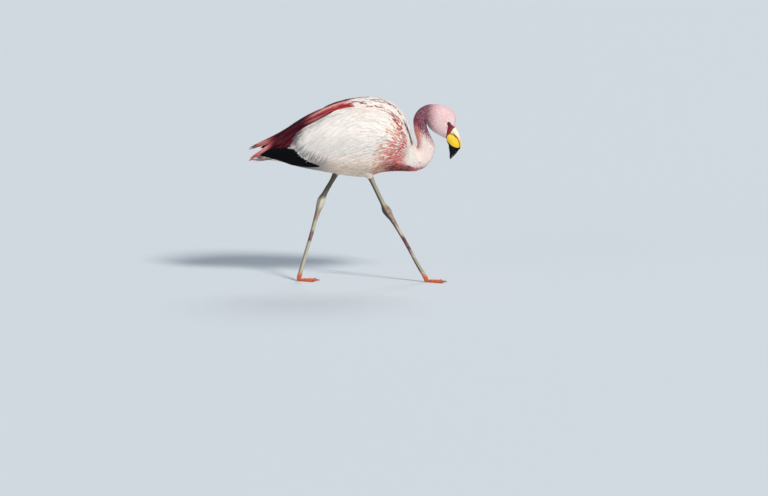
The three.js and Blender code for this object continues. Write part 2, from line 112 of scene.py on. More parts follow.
# Shader maths: a Field wraps a socket, so that node trees read as expressions
class Field:
    def __init__(self, finish, socket):
        self.finish = finish
        self.socket = socket

    def maths(self, operation, *values):
        return self.finish.node("ShaderNodeMath", {"operation": operation}, values)

    def __add__(self, other):
        return self.maths("ADD", self, other)

    def __sub__(self, other):
        return self.maths("SUBTRACT", self, other)

    def __rsub__(self, other):
        return self.maths("SUBTRACT", other, self)

    def __mul__(self, other):
        return self.maths("MULTIPLY", self, other)

    def __pow__(self, other):
        return self.maths("POWER", self, other)

    def __abs__(self):
        return self.maths("ABSOLUTE", self)

    def wave(self):
        return self.maths("SINE", self)

    def ramp(self, low, high):  # smooth from 0 at low to 1 at high
        settings = {"interpolation_type": "SMOOTHSTEP"}
        return self.finish.node("ShaderNodeMapRange", settings, {0: self, 1: low, 2: high})

    __radd__ = __add__
    __rmul__ = __mul__


class Tree:
    def __init__(self, tree):
        self.tree = tree

    def plug(self, socket, value):
        if isinstance(value, Field):
            self.tree.links.new(value.socket, socket)
        elif socket.type == "RGBA":
            socket.default_value = (*value[:3], 1)
        else:
            socket.default_value = value

    def node(self, kind, settings=None, inputs=(), output=0):
        new = self.tree.nodes.new(kind)
        for key, value in (settings or {}).items():
            setattr(new, key, value)
        pairs = inputs.items() if isinstance(inputs, dict) else enumerate(inputs)
        for key, value in pairs:
            self.plug(new.inputs[key], value)
        return Field(self, new.outputs[output])


class Finish(Tree):
    def __init__(self, name, **constants):
        self.material = bpy.data.materials.new(name)
        self.material.use_nodes = True
        super().__init__(self.material.node_tree)
        self.shader = self.tree.nodes["Principled BSDF"]
        for socket, value in constants.items():
            self.plug(self.shader.inputs[socket], value)

    def attribute(self, name):
        return self.node("ShaderNodeAttribute", {"attribute_name": name}, output="Fac")

    def place(self):
        return self.node("ShaderNodeTexCoord", output="Object")

    def axes(self, vector):
        split = self.node("ShaderNodeSeparateXYZ", inputs=[vector])
        return [Field(self, socket) for socket in split.socket.node.outputs]

    def mix(self, factor, first, second):
        inputs = {0: factor, 6: first, 7: second}
        return self.node("ShaderNodeMix", {"data_type": "RGBA"}, inputs, 2)

    def layered(self, base, *layers):  # each layer is (mask, colour)
        for mask, colour in layers:
            base = self.mix(mask, base, colour)
        return base

    def scaled(self, vector, sizes):
        return self.node("ShaderNodeVectorMath", {"operation": "MULTIPLY"}, [vector, sizes])

    def noise(self, vector, scale, detail=3.0):
        inputs = {"Vector": vector, "Scale": scale, "Detail": detail}
        return self.node("ShaderNodeTexNoise", inputs=inputs)

    def cells(self, vector, scale):  # distance from the nearest edge between cells
        settings = {"feature": "DISTANCE_TO_EDGE"}
        return self.node("ShaderNodeTexVoronoi", settings, {"Vector": vector, "Scale": scale})

    def colour(self, value):
        self.plug(self.shader.inputs["Base Color"], value)

    def roughness(self, value):
        self.plug(self.shader.inputs["Roughness"], value)

    def bump(self, height, distance, strength=1.0):
        inputs = {"Height": height, "Distance": distance, "Strength": strength}
        self.plug(self.shader.inputs["Normal"], self.node("ShaderNodeBump", inputs=inputs))


# Curves and surfaces
def smooth(low, high, value):
    share = np.clip((value - low) / (high - low), 0, 1)
    return share * share * (3 - 2 * share)


def unit(vectors):
    return vectors / np.maximum(np.linalg.norm(vectors, axis=-1, keepdims=True), 1e-9)


def signedPower(value, power):
    return np.sign(value) * np.abs(value) ** power


def between(rows, t):  # Catmull-Rom between the rows of a table
    rows = np.asarray(rows, float)
    last = len(rows) - 1
    t = np.asarray(t, float)
    i = np.clip(np.floor(t).astype(int), 0, last - 1)
    f = (t - i)[..., None]
    a, b, c, d = (rows[np.clip(i + k, 0, last)] for k in (-1, 0, 1, 2))
    bend = 2 * a - 5 * b + 4 * c - d
    twist = 3 * b - a - 3 * c + d
    return 0.5 * (2 * b + (c - a) * f + bend * f**2 + twist * f**3)


def spaced(low, high, stepAt):  # values from low to high, as dense as stepAt says
    fine = np.linspace(low, high, 4001)
    count = np.concatenate([[0], np.cumsum(np.diff(fine) / stepAt(fine[:-1]))])
    return np.interp(np.linspace(0, count[-1], int(round(count[-1])) + 1), count, fine)


# Profile of the bird outside its feathers, rump to bill: dorsal x, z, ventral x, z, half the width.
bodyRows = [
    # rump and belly
    (-217.5, 334, -220, 307, 10),
    (-197.5, 348.5, -200, 303.5, 18),
    (-172.5, 363.5, -175, 300.5, 28),
    (-140, 388, -142.5, 290, 42),
    (-100, 415, -102.5, 282, 56),
    (-57.5, 440, -60, 274.5, 66),
    (-15, 456, -15, 267, 72),
    (27.5, 463, 27.5, 265, 74),
    (65, 459, 65, 276, 72),
    # breast
    (92.5, 448, 95, 279, 67),
    (114, 430.5, 117.5, 279, 59),
    (130, 405.5, 135, 278.5, 48),
    (141, 376, 147.5, 278.5, 37),
    (147.5, 350.5, 157.5, 280.5, 29.5),
    # lower bend of the neck
    (151.5, 337, 172.5, 286.5, 25.5),
    (154, 337.5, 189, 303, 23),
    (155.5, 344, 199, 327, 21),
    # rising neck
    (155, 353.5, 197.5, 348.5, 19.5),
    (151.5, 366, 192, 361, 18.3),
    (148, 378.5, 185.5, 374, 17.2),
    (146, 393, 180.5, 386.5, 16.5),
    # upper bend of the neck
    (145.5, 406.5, 177.5, 395.5, 16.5),
    (150, 421, 176.5, 399, 17),
    (161, 435, 177.5, 400.5, 17.5),
    (177.5, 444, 179.5, 397, 19),
    # head
    (196, 446.5, 184.5, 388, 21),
    (215, 444.5, 192.5, 380, 23),
    (231, 439, 202.5, 373, 24.5),
    (244, 429, 213.5, 367, 24),
    (251, 416.5, 221, 363, 21.5),
    (252, 401.5, 225.5, 360.5, 18),
    (251, 388, 227.5, 359, 13.5),
]
lastBodyRow = len(bodyRows) - 1
squareness = 2.15

wing = {
    "thickness": 8,
    "angles": (-55, 53),  # degrees up from the side
    "rear": (2.2, 12, 2, 1),  # row, its angle, how far it sweeps below and above
    "front": (11, 10, 3, 0.7),
}

# How deep the coat is, by row of the body.
coatDepth = [
    (0, 3.6), (9, 3.6), (13, 3.2), (16, 2.6), (20, 2.2), (24, 1.9), (27, 1.5), (29.5, 1.2), (31, 0.9),
]


def depthOfCoat(t):
    return np.interp(t, *zip(*coatDepth))


def bodySection(t):
    rows = between(bodyRows, t)
    dorsal = rows[..., [0, 1]]
    ventral = rows[..., [2, 3]]
    rise = dorsal - ventral
    height = np.linalg.norm(rise, axis=-1)
    return (dorsal + ventral) / 2, rise / height[..., None], height / 2, rows[..., 4]


def hullPoint(t, angle):  # angle 0 is the left side, pi / 2 the back, pi the right side
    centre, up, halfHeight, halfWidth = bodySection(t)
    y = signedPower(np.cos(angle), 2 / squareness) * halfWidth
    rise = signedPower(np.sin(angle), 2 / squareness) * halfHeight
    return np.stack([centre[..., 0] + up[..., 0] * rise, y, centre[..., 1] + up[..., 1] * rise], -1)


def upFromSide(angle):  # degrees above the nearer side of the body
    return np.degrees(np.arcsin(np.clip(np.sin(angle), -1, 1)))


def wingPlace(t, angle):  # shares along and across the wing, 0 to 1 where it lies
    level = upFromSide(angle)
    low, high = wing["angles"]
    edges = []
    for key, sign in (("rear", 1), ("front", -1)):
        row, middle, below, above = wing[key]
        power = 1.6 if key == "rear" else 2
        under = np.clip((middle - level) / (middle - low), 0, 1) ** power
        over = np.clip((level - middle) / (high - middle), 0, 1) ** power
        edges.append(row + sign * (below * under + above * over))
    return (t - edges[0]) / (edges[1] - edges[0]), (level - low) / (high - low)


def wingLift(t, angle):
    u, v = wingPlace(t, angle)
    lengthwise, upward = (1 - np.clip(np.abs(2 * share - 1), 0, 1) ** 4 for share in (u, v))
    return wing["thickness"] * (lengthwise * upward)


def slopes(points):
    along = np.gradient(points, fieldT, axis=0)
    around = np.gradient(np.concatenate([points[:, -2:-1], points, points[:, 1:2]], 1), axis=1)[:, 1:-1]
    return along, around / (fieldAngle[1] - fieldAngle[0])


# The outside of the coat on a fine grid: place, normal, unit slopes along and around, and their lengths.
fieldT = np.linspace(0, lastBodyRow, 621)
fieldAngle = np.linspace(0, 2 * np.pi, 361)


def bodyField():
    t, angle = np.meshgrid(fieldT, fieldAngle, indexing="ij")
    hull = hullPoint(t, angle)
    along, around = slopes(hull)
    normal = unit(np.cross(around, along))
    outside = hull + normal * wingLift(t, angle)[..., None]
    along, around = slopes(outside)
    normal = unit(np.cross(around, along))
    lengths = [np.linalg.norm(v, axis=-1, keepdims=True) for v in (along, around)]
    return np.concatenate([outside, normal, unit(along), unit(around), *lengths], -1)


field = bodyField()


def lookUp(t, angle):  # rows before the rump run straight on
    row = np.clip(t, 0, lastBodyRow) / (fieldT[1] - fieldT[0])
    column = (angle % (2 * np.pi)) / (fieldAngle[1] - fieldAngle[0])
    i = np.clip(row.astype(int), 0, len(fieldT) - 2)
    j = np.clip(column.astype(int), 0, len(fieldAngle) - 2)
    a, b = (row - i)[..., None], (column - j)[..., None]
    value = (field[i, j] * (1 - a) + field[i + 1, j] * a) * (1 - b)
    value = value + (field[i, j + 1] * (1 - a) + field[i + 1, j + 1] * a) * b
    place, normal, along, around = (value[..., k : k + 3] for k in (0, 3, 6, 9))
    along, around = unit(along), unit(around)
    place = place + along * (np.minimum(t, 0) * value[..., 12])[..., None]
    return place, unit(normal), along, around, value[..., 12], np.maximum(value[..., 13], 2)


def insideTrunk(points, grow):  # grow is how far outside it still counts, in mm
    t = np.linspace(0, 14, 141)
    centre, up, halfHeight, halfWidth = bodySection(t)
    ahead = np.stack([up[:, 1], -up[:, 0]], -1)
    flat = points[..., None, [0, 2]] - centre
    nearest = np.abs((flat * ahead).sum(-1)).argmin(-1)
    rise = np.take_along_axis((flat * up).sum(-1), nearest[..., None], -1)[..., 0]
    share = np.abs(points[..., 1] / (halfWidth[nearest] + grow)) ** squareness
    return share + np.abs(rise / (halfHeight[nearest] + grow)) ** squareness < 1


def eyeFacts():
    t = np.linspace(24, lastBodyRow, 1401)
    centre, up, halfHeight, halfWidth = bodySection(t)
    flat = np.array((eyeSpot["x"], eyeSpot["z"])) - centre
    k = np.abs(flat[:, 0] * up[:, 1] - flat[:, 1] * up[:, 0]).argmin()
    rise = (flat[k] * up[k]).sum() / halfHeight[k]
    side = halfWidth[k] * (1 - abs(rise) ** squareness) ** (1 / squareness)
    return t[k], math.asin(np.sign(rise) * abs(rise) ** (squareness / 2)), side


eyeRow, eyeAngle, headSide = eyeFacts()
eyeY = headSide - eyeSpot["sunk"]


# Markings, from the place on the bird as it is seen level from the side
def sideHeight(points):
    return points[..., 2] * cosView - np.abs(points[..., 1]) * sinView


# Each line runs through (x, height seen from the side), in mm.
markings = {
    # height, then x of the rear and front edges of the crimson breast
    "breast": [(270, 62, 175), (278, 55, 178), (290, 52, 128), (302, 52, 122), (316, 55, 128),
               (328, 60, 133), (341, 66, 133), (354, 66, 130), (366, 88, 126), (391, 104, 122)],
    "lore": {"eye": (232.5, 398), "brow": (251.5, 382.3), "chin": (227, 360)},
    "plumeEdge": [(-270, 296), (-254, 303), (-232, 313), (-205, 324), (-182, 330), (-161, 338),
                  (-153, 366), (-137, 380), (-120, 392), (-88, 413), (-57, 425), (-7, 438), (0, 470)],
    "plumeStripe": [(-150, 391), (-112, 410), (-87, 422), (-62, 434), (-30, 444), (-10, 449)],
    # painted shade down the front of the breast beside the neck: height, x of its line
    "breastFrontShade": [(336, 143), (354, 139), (379, 131), (391, 126), (411, 121), (430, 119)],  # height, x
    # edge of the painted shadow of the head on the neck
    "neckShade": ((158.7, 372), (198.7, 334.5)),
    # soft spots: x, height, half sizes
    "buff": [(0, 429, 9, 3), (27, 424, 6, 3), (18, 407, 8, 4), (85, 380, 9, 4)],
    "shade": [(-157, 358, 12, 16), (-146, 360, 14, 18)],
    "spot": [(-147, 341, 5, 3)],
}


def spots(key, x, h):
    return sum(np.exp(-(((x - a) / c) ** 2) - ((h - b) / d) ** 2) for a, b, c, d in markings[key])


def fromLine(x, h, start, end):  # distance from a line, positive on the left of its run
    run = np.array(end) - start
    return ((h - start[1]) * run[0] - (x - start[0]) * run[1]) / np.hypot(*run)


def loreMask(points):  # 1 on the bare face, and the distances inside its upper and rear edges
    x, h = points[..., 0], sideHeight(points)
    corner = markings["lore"]
    arch = 0.9 * np.sin(np.pi * np.clip((x - 232) / 19, 0, 1))
    brow = -fromLine(x, h, corner["eye"], corner["brow"]) - arch
    rear = fromLine(x, h, corner["eye"], corner["chin"])
    return smooth(-0.5, 0.5, brow) * smooth(-0.5, 0.5, rear), brow, rear


def breastMask(points):
    x, h = points[..., 0], sideHeight(points)
    heights, rear, front = zip(*markings["breast"])
    low, high = np.interp(h, heights, rear), np.interp(h, heights, front)
    return smooth(-6, 16, x - low) * smooth(-6, 6, high - x) * smooth(398, 386, h)


def bandMarks(points, slack=3):  # the crimson band along the back: how red, salmon and dark
    x, h = points[..., 0], sideHeight(points)
    overEdge = h - np.interp(x, *zip(*markings["plumeEdge"]))
    inside = smooth(-2, 2, overEdge + slack) * smooth(-4, -14, x)
    stripe = h - np.interp(x, *zip(*markings["plumeStripe"]))
    onStripe = np.exp(-((stripe / 2.6) ** 4)) * smooth(-118, -95, x)
    wedge = smooth(-6, -2, stripe) * smooth(-40, -26, x)
    core = smooth(-222, -196, x) * smooth(-100, -135, x)
    ends = smooth(-205, -228, x)
    # dark above the stripe is painted shade, where the band turns over the top of the back
    dark = np.clip(0.9 * smooth(2.5, 5.5, stripe) + core, 0, 1)
    return inside * (1 - wedge), inside * np.maximum(onStripe, 0.7 * ends), inside * dark


def plumageMarks(points, t):
    x, h = points[..., 0], sideHeight(points)
    head = smooth(23.5, 26, t)
    neck = smooth(12.5, 17, t) * (1 - head)
    speckle = random.normal(0, 1, len(x)).reshape([-1] + [1] * (x.ndim - 1))
    # painted shadow of the head on the upper neck, above the neckShade line (shade); the nape's mauve,
    # bounded by the same line, is partly its own colour and partly that painted shadow
    above = fromLine(x, h, *markings["neckShade"]) + 3 * speckle
    shade = smooth(-5, 4, above) * smooth(16.6, 17.4, t) * smooth(25.5, 24, t)
    nape = smooth(-4, 18, above) * smooth(16.6, 17.4, t) * smooth(29, 25, t)
    nape = nape * smooth(212, 180, x + 9 * speckle) * (0.7 + 0.3 * smooth(352, 388, h))
    nape = nape * (1 - 0.5 * smooth(398, 384, h) * smooth(161, 153, x))
    throat = smooth(130, 165, x) * smooth(296, 280, h) * smooth(17.5, 16, t)
    # salmon strip down the back of the neck: salmon colour and a painted backlit glow along that edge
    rearOfNeck = smooth(15.8, 17.4, t) * smooth(24, 21, t) * smooth(170, 157, x)
    # painted shade on the front of the breast beside the neck, carried as dark
    pastShadeLine = x - np.interp(h, *zip(*markings["breastFrontShade"])) + speckle
    breastFrontShade = smooth(-3.5, -1.0, pastShadeLine) * smooth(330, 350, h + 3 * speckle)
    breastFrontShade = breastFrontShade * smooth(9.6, 10.2, t) * smooth(15.6, 15.1, t) * smooth(24, 32, np.abs(points[..., 1]))
    belly = smooth(325, 280, h) * smooth(13, 9, t)
    bright = np.exp(-(((x - 215) / 13) ** 2) - ((h - 425) / 15) ** 2)
    bright = bright + np.exp(-(((x - 245) / 9) ** 2) - ((h - 395) / 26) ** 2)
    _, brow, rear = loreMask(points)
    bright = bright + smooth(-6, -1, np.minimum(brow, rear)) * head
    # cheek: painted light, less flush where the cheek faces down out of the light, with a salmon tint
    cheek = np.exp(-(((x - 212) / 22) ** 2) - ((h - 378) / 24) ** 2) * head
    red, salmon, dark = bandMarks(points)
    lowNeck = smooth(18.2, 16.5, t) * smooth(12.5, 14.5, t)
    # painted shade: the wing greyer towards its bottom
    lowWingShade = smooth(375, 335, h) * smooth(300, 318, h) * (t < 12)
    # under: painted shade, grey under the tail and the rear of the belly
    under = smooth(-30, -120, x) * smooth(306, 290, h - 0.05 * (x + 100))
    flush = (0.52 + 0.13 * speckle - 0.18 * cheek) * head + 0.14 * neck + 0.05 * belly + 0.5 * throat
    flush = flush + (0.08 + 0.08 * speckle) * lowNeck + 0.25 * rearOfNeck + 0.02
    # the shade spots are painted shade behind the wing, above the black feathers
    grey = 0.95 * under + (0.9 + 0.3 * speckle) * spots("shade", x, h) + 0.2 * lowWingShade
    spot = np.clip(spots("spot", x, h), 0, 1)
    return {
        "flush": np.clip(flush, 0, 1),
        "face": np.clip(bright, 0, 1) * smooth(25.5, 27, t) * 0.75,
        "salmon": np.maximum(0.75 * rearOfNeck, salmon) + 0.1 * cheek,
        "buff": np.clip(0.55 * spots("buff", x, h) + 0.6 * belly + 0.12 * lowNeck, 0, 1),
        "grey": np.clip(grey, 0, 1),
        "mauve": np.clip(0.36 * shade + 0.8 * nape, 0, 1) * (0.9 + 0.13 * speckle),
        "red": np.maximum(red * (1 - 0.85 * salmon), spot) + 0.3 * throat * (speckle > 0.5),
        "dark": np.clip(0.3 * nape * smooth(205, 180, x) + 0.9 * breastFrontShade + dark, 0, 1),
        "black": np.zeros_like(x),
    }


# Which way the coat lies seen from the side: x, height, degrees below straight back.
lieOfCoat = [
    (-25, 424, 20), (-88, 404, 32), (-137, 371, 33), (-137, 329, 62), (-112, 309, 70), (-75, 341, 54),
    (-37, 379, 50), (-37, 316, 36), (12, 404, 30), (12, 354, 40), (25, 304, 24), (-25, 279, 12),
    (-137, 286, 5), (75, 416, -18), (75, 379, -12), (72, 340, -6), (75, 296, 28), (112, 404, -42),
    (118, 354, -28), (112, 312, 18), (112, 284, 10), (12, 456, 3), (62, 456, -5), (-60, 440, 18),
    (90, 320, 6), (40, 340, 14),
]


def yawOfCoat(t, angle):
    place, _, along, around, *_ = lookUp(t, angle)
    x, h = place[..., 0], sideHeight(place)
    weights = [((x - a) ** 2 + (h - b) ** 2 + 500) ** -1.5 for a, b, _ in lieOfCoat]
    slope = np.radians(sum(w * row[2] for w, row in zip(weights, lieOfCoat)) / sum(weights))
    way = np.stack([-np.cos(slope), 0 * slope, -np.sin(slope)], -1)
    down = np.where(np.cos(angle) < 0, 1, -1)
    yaw = np.arctan2((way * around).sum(-1) * down, -(way * along).sum(-1))
    side = smooth(0.15, 0.6, np.abs(np.cos(angle)))
    return np.clip(yaw, -1.3, 1.3) * smooth(15, 12, t) * side


# Meshes from arrays
def addMarks(mesh, marks):
    for key, values in marks.items():
        layer = mesh.attributes.new(key, "FLOAT", "POINT")
        layer.data.foreach_set("value", np.asarray(values, np.float32))


def meshPoints(mesh):  # back to the tables' millimetres
    points = np.zeros(len(mesh.vertices) * 3)
    mesh.vertices.foreach_get("co", points)
    return points.reshape(-1, 3) * 1000 - (shiftX, 0, 0)


def meshObject(name, points, faces, attributes=None, uv=None, normals=None, materials=()):
    mesh = bpy.data.meshes.new(name)
    corners = np.concatenate([f.ravel() for f in faces])
    sizes = np.concatenate([np.full(len(f), f.shape[1]) for f in faces])
    mesh.vertices.add(len(points))
    mesh.vertices.foreach_set("co", np.asarray(points, np.float32).ravel())
    mesh.loops.add(len(corners))
    mesh.loops.foreach_set("vertex_index", corners.astype(np.int32))
    mesh.polygons.add(len(sizes))
    starts = np.concatenate([[0], np.cumsum(sizes)[:-1]])
    mesh.polygons.foreach_set("loop_start", starts.astype(np.int32))
    mesh.polygons.foreach_set("use_smooth", np.ones(len(sizes), bool))
    mesh.update(calc_edges=True)
    mesh.validate()
    addMarks(mesh, attributes or {})
    if uv is not None:
        layer = mesh.uv_layers.new(name="OFBake")
        layer.data.foreach_set("uv", np.asarray(uv, np.float32)[corners].ravel())
    if normals is not None:
        mesh.normals_split_custom_set_from_vertices(unit(normals).tolist())
    for finish in materials:
        mesh.materials.append(finish.material)
    made = bpy.data.objects.new(name, mesh)
    bpy.context.scene.collection.objects.link(made)
    return made


def bandFaces(rings, around):  # quads from ring to ring, and the places round one ring
    level = np.arange(rings - 1)[:, None] * around
    k = np.arange(around)
    nextK = (k + 1) % around
    quads = np.stack([level + k, level + nextK, level + around + nextK, level + around + k], -1)
    return quads.reshape(-1, 4), k, nextK


def tubeFaces(rings, around):  # quads over rings, then a fan over each end round an added middle point
    quads, k, nextK = bandFaces(rings, around)
    first, last = rings * around, rings * around + 1
    top = (rings - 1) * around
    near = np.stack([np.full(around, first), nextK, k], -1)
    far = np.stack([np.full(around, last), top + k, top + nextK], -1)
    return [quads, near, far]


def tubeMesh(name, rings, materials=()):
    points = np.concatenate([rings.reshape(-1, 3), rings[[0, -1]].mean(1)])
    made = meshObject(name, toFrame(points), tubeFaces(*rings.shape[:2]), materials=materials)
    outward(made)
    return made


def outward(made):
    work = bmesh.new()
    work.from_mesh(made.data)
    bmesh.ops.recalc_face_normals(work, faces=work.faces)
    work.to_mesh(made.data)
    work.free()


def finishPiece(piece, slotName, *nodes):
    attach(piece, "root")
    if nodes:
        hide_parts(*nodes)
    mesh = piece.data
    mesh.calc_loop_triangles()
    print(f"  {piece.name}: {len(mesh.loop_triangles)} triangles")


def vaneRing(style):  # across, up
    if style == "broad":
        return np.array([(1, 0), (0.55, 0.8), (0, 1), (-0.55, 0.8), (-1, 0)])
    return np.array([(1, 0), (0, 1), (-1, 0)])


def stations(rows, kind):  # where the rows of points lie along a feather, 0 to 1
    s = np.linspace(0, 1, rows)
    return np.sin(s * np.pi / 2) if kind == "round" else s


def vaneShares(rows, kind):  # half width at each of these, as a share of the widest
    s = stations(rows, kind)
    if kind == "lance":
        return 0.28 + 0.72 * np.sin(np.pi * s**0.8) ** 0.8
    if kind == "blade":
        widening = 0.35 + 0.65 * np.sin(np.pi * np.minimum(s * 1.1, 0.5))
        return widening * (1 - smooth(0.72, 1.02, s) * 0.8)
    widening = 0.45 + 0.55 * np.sin(np.pi / 1.2 * s)
    roundEnd = np.sqrt(1 - (np.maximum(s - 0.6, 0) / 0.4) ** 2)
    return np.where(s < 0.6, widening, roundEnd)


softness = 0.45  # how far a feather's edges turn its shading


def spread(mark, count, rows, around):  # one value for each feather, or one for each of its rows
    mark = np.asarray(mark, float)
    if mark.ndim < 2:
        return np.repeat(np.broadcast_to(mark, count), (rows - 1) * around + 1)
    return np.concatenate([np.repeat(mark[:, :-1], around, 1), mark[:, -1:]], 1).reshape(-1)


# Feathers along paths: path and normal are (feathers, rows, 3), and width is half a feather's width.
def vanes(
    name, path, normal, width, thick, marks, root, kind="lance", style="slim", camber=0.12, materials=()
):
    count, rows = path.shape[:2]
    along = unit(np.gradient(path, axis=1))
    side = unit(np.cross(normal, along))
    normal = unit(np.cross(along, side))
    ring = vaneRing(style)
    around = len(ring)
    half = width[:, None] * vaneShares(rows, kind)
    body = slice(0, rows - 1)
    a, b = ring[:, 0], ring[:, 1]
    lift = thick * b - camber * half[:, body, None] * a**2
    points = path[:, body, None] + side[:, body, None] * (half[:, body, None] * a)[..., None]
    points = points + normal[:, body, None] * lift[..., None]
    shade = normal[:, body, None] + side[:, body, None] * (softness * a)[:, None]
    vertices = (rows - 1) * around + 1
    points = np.concatenate([points.reshape(count, -1, 3), path[:, -1:]], 1)
    shade = np.concatenate([shade.reshape(count, -1, 3), normal[:, -1:]], 1)
    quads, k, nextK = bandFaces(rows - 1, around)
    top = (rows - 2) * around
    tips = np.stack([top + k, top + nextK, np.full(around, vertices - 1)], -1)
    cap = k[::-1][None]
    start = np.arange(count)[:, None, None] * vertices
    faces = [(start + f).reshape(-1, f.shape[1]) for f in (quads, tips, cap)]
    s = np.append(np.repeat(stations(rows, kind)[:-1], around), 1)
    u = np.append(np.tile(a, rows - 1), 0)
    attributes = {key: spread(v, count, rows, around) for key, v in marks.items()}
    attributes["along"] = np.tile(s, count)
    attributes["across"] = np.tile(u, count)
    attributes["chance"] = np.repeat(random.random(count), vertices)
    patch = np.stack([u, 2 * s - 1], -1) * 0.0015
    uv = (np.clip(root, 0.002, 0.998)[:, None] + patch).reshape(-1, 2)
    points, shade = points.reshape(-1, 3), shade.reshape(-1, 3)
    return meshObject(name, toFrame(points), faces, attributes, uv, shade, materials)


def scatter(rowRange, spacing, jitter=0.35):  # roots in staggered rows along the body
    rowStep, columnStep = spacing
    t, rows = rowRange[0], []
    line = 0
    while t < rowRange[1]:
        angle = fieldAngle[:-1]
        *_, alongScale, aroundScale = lookUp(np.full(len(angle), t), angle)
        girth = np.concatenate([[0], np.cumsum(aroundScale) * fieldAngle[1]])
        count = max(6, int(girth[-1] / columnStep))
        places = (np.arange(count) + 0.5 * (line % 2) + random.uniform(-jitter, jitter, count)) / count
        places = np.interp(places % 1 * girth[-1], girth, fieldAngle)
        step = rowStep / np.median(alongScale)
        rows.append((t + random.uniform(-jitter, jitter, count) * step, places))
        t += step
        line += 1
    t, angle = (np.concatenate(values) for values in zip(*rows))
    return np.clip(t, *rowRange), angle


rootDepth = 0.6  # how deep the roots of the outer feathers lie, as a share of the coat


# Feathers that lie on the body towards the tail, where yaw turns them towards the belly.
def lieOn(t, angle, length, yaw, rows, depth, rise, lift, kind="lance"):
    down = np.where(np.cos(angle) < 0, 1, -1)
    share = stations(rows, kind)
    places, heights, normals = [], [], []
    for s, step in zip(share, np.append(np.diff(share), 0)):
        place, normal, _, _, alongScale, aroundScale = lookUp(t, angle)
        step = step * length
        places.append(place)
        heights.append(lift - rootDepth * depth * (1 - s) ** 1.5 + rise * s**2)
        normals.append(normal)
        t = t - np.cos(yaw) * step / alongScale
        angle = angle + down * np.sin(yaw) * step / aroundScale
    normals = np.stack(normals, 1)
    # one way up for a whole feather, so that none folds in a hollow
    up = unit(normals.mean(axis=1, keepdims=True))
    return np.stack(places, 1) + up * np.stack(heights, 1)[..., None], unit(normals * 0.35 + up)


# Plumage finish
plumage = {
    "white": (0.87, 0.825, 0.76),
    "flush": (0.80, 0.33, 0.40),
    "face": (0.90, 0.66, 0.68),
    "salmon": (0.88, 0.24, 0.18),
    "buff": (0.80, 0.56, 0.38),
    # grey: mostly painted shade, under the tail, behind the wing, low on the wing and on the fringe's
    # ends
    "grey": (0.19, 0.18, 0.19),
    # mauve: the nape's colour and the painted shadow of the head on the neck
    "mauve": (0.22, 0.036, 0.085),
    "red": (0.42, 0.018, 0.028),
    "dark": (0.045, 0.004, 0.012),
    "black": (0.004, 0.004, 0.005),
    "variation": 0.09,
    "barbs": 60,
    "barbDepth": 0.00008,  # metres
    "roughness": 0.75,
}
tints = ["flush", "face", "salmon", "buff", "grey", "mauve", "red", "dark", "black"]


def plumageFinish(name, variation=plumage["variation"], isSkin=False, sheen=0.15):
    finish = Finish(name, **{"Sheen Weight": sheen, "Sheen Roughness": 0.5, "Specular IOR Level": sheen})
    place = finish.place()
    cloud = finish.noise(place, 45)
    base = plumage["white"]
    for tint in tints:
        mask = finish.attribute(tint)
        if tint in ("flush", "buff"):
            mask = mask * (0.5 + cloud)
        base = finish.mix(mask, base, plumage[tint])
    if isSkin:
        base = finish.mix(finish.attribute("lore"), base, bareFace["lore"])
        base = finish.mix(finish.attribute("lid"), base, bareFace["lid"])
        wrinkles = finish.cells(place, bareFace["wrinkles"]).ramp(0, 0.25)
        finish.bump(wrinkles, bareFace["wrinkleDepth"], 0.7)
    else:
        chance = finish.attribute("chance")
        shade = 1 - variation + chance * variation * 2
        base = finish.node("ShaderNodeHueSaturation", inputs={"Value": shade, "Color": base})
        along, across = finish.attribute("along"), finish.attribute("across")
        barbs = (along * plumage["barbs"] + abs(across) * 9 + chance * 6).wave()
        shaft = 1 - abs(across).ramp(0.0, 0.12)
        finish.bump(barbs * 0.5 + shaft, plumage["barbDepth"], 0.6)
    finish.colour(base)
    finish.roughness(plumage["roughness"] - cloud * 0.08)
    return finish


# Skin of legs and feet: x, y, z of the middle of the leg, half its depth and half its width
legRows = {
    "right": [
        (16, -34, 308, 29, 24), (31, -28, 281, 18, 15), (38.5, -23, 265.5, 8, 7.5),
        (46, -21, 249, 5.8, 5.8), (60, -18, 218.5, 5.6, 5.5), (70, -16, 198, 6.2, 6),
        (77, -15, 184.5, 10.4, 7.8), (83.5, -14.5, 174, 10, 7.8), (92, -14, 160, 6.6, 6.2),
        (102.5, -13, 142, 5.2, 5), (119, -12, 113.5, 4.6, 4.5), (137.5, -10.5, 79.5, 4.4, 4.3),
        (157.5, -9.5, 42, 4.7, 4.5), (171, -9, 20, 5.3, 5), (178, -9, 7, 5.6, 5.4),
    ],
    "left": [
        (-25, 34, 302, 27, 24), (-41, 28, 280, 15, 14), (-49.5, 23, 266.5, 7.8, 7.5),
        (-57.5, 20, 252, 5.8, 5.7), (-70, 17, 231, 6, 5.8), (-77.5, 16, 217, 7, 6.4),
        (-83.5, 15, 204, 10, 7.8), (-88, 14.5, 190, 9.4, 7.6), (-93, 14, 175, 6.6, 6.2),
        (-99, 13, 155, 5.4, 5.2), (-110, 12, 115.5, 4.7, 4.6), (-122.5, 10.5, 73.5, 4.5, 4.4),
        (-132.5, 9.5, 38, 4.9, 4.6), (-138, 9, 18, 5.5, 5.2), (-140.5, 9, 7, 5.6, 5.4),
    ],
}
lastLegRow = 14
thighEnd = 2.05  # the row where bare skin begins
# length, degrees from the middle toe, height and half width of each toe
toes = {"inner": (40, -30, 6, 3.2), "middle": (47, 0, 6.8, 3.6), "outer": (45, 27, 6.4, 3.4)}
footTurn = {"right": -4, "left": 3}  # degrees
foot = {
    "voxel": 0.86,  # mm, of the remeshed leg
    "webThick": 1.5,
    "webReach": 0.86,
    "webNotch": 0.74,
    "heel": 5.8,
}
sides = {"right": -1, "left": 1}


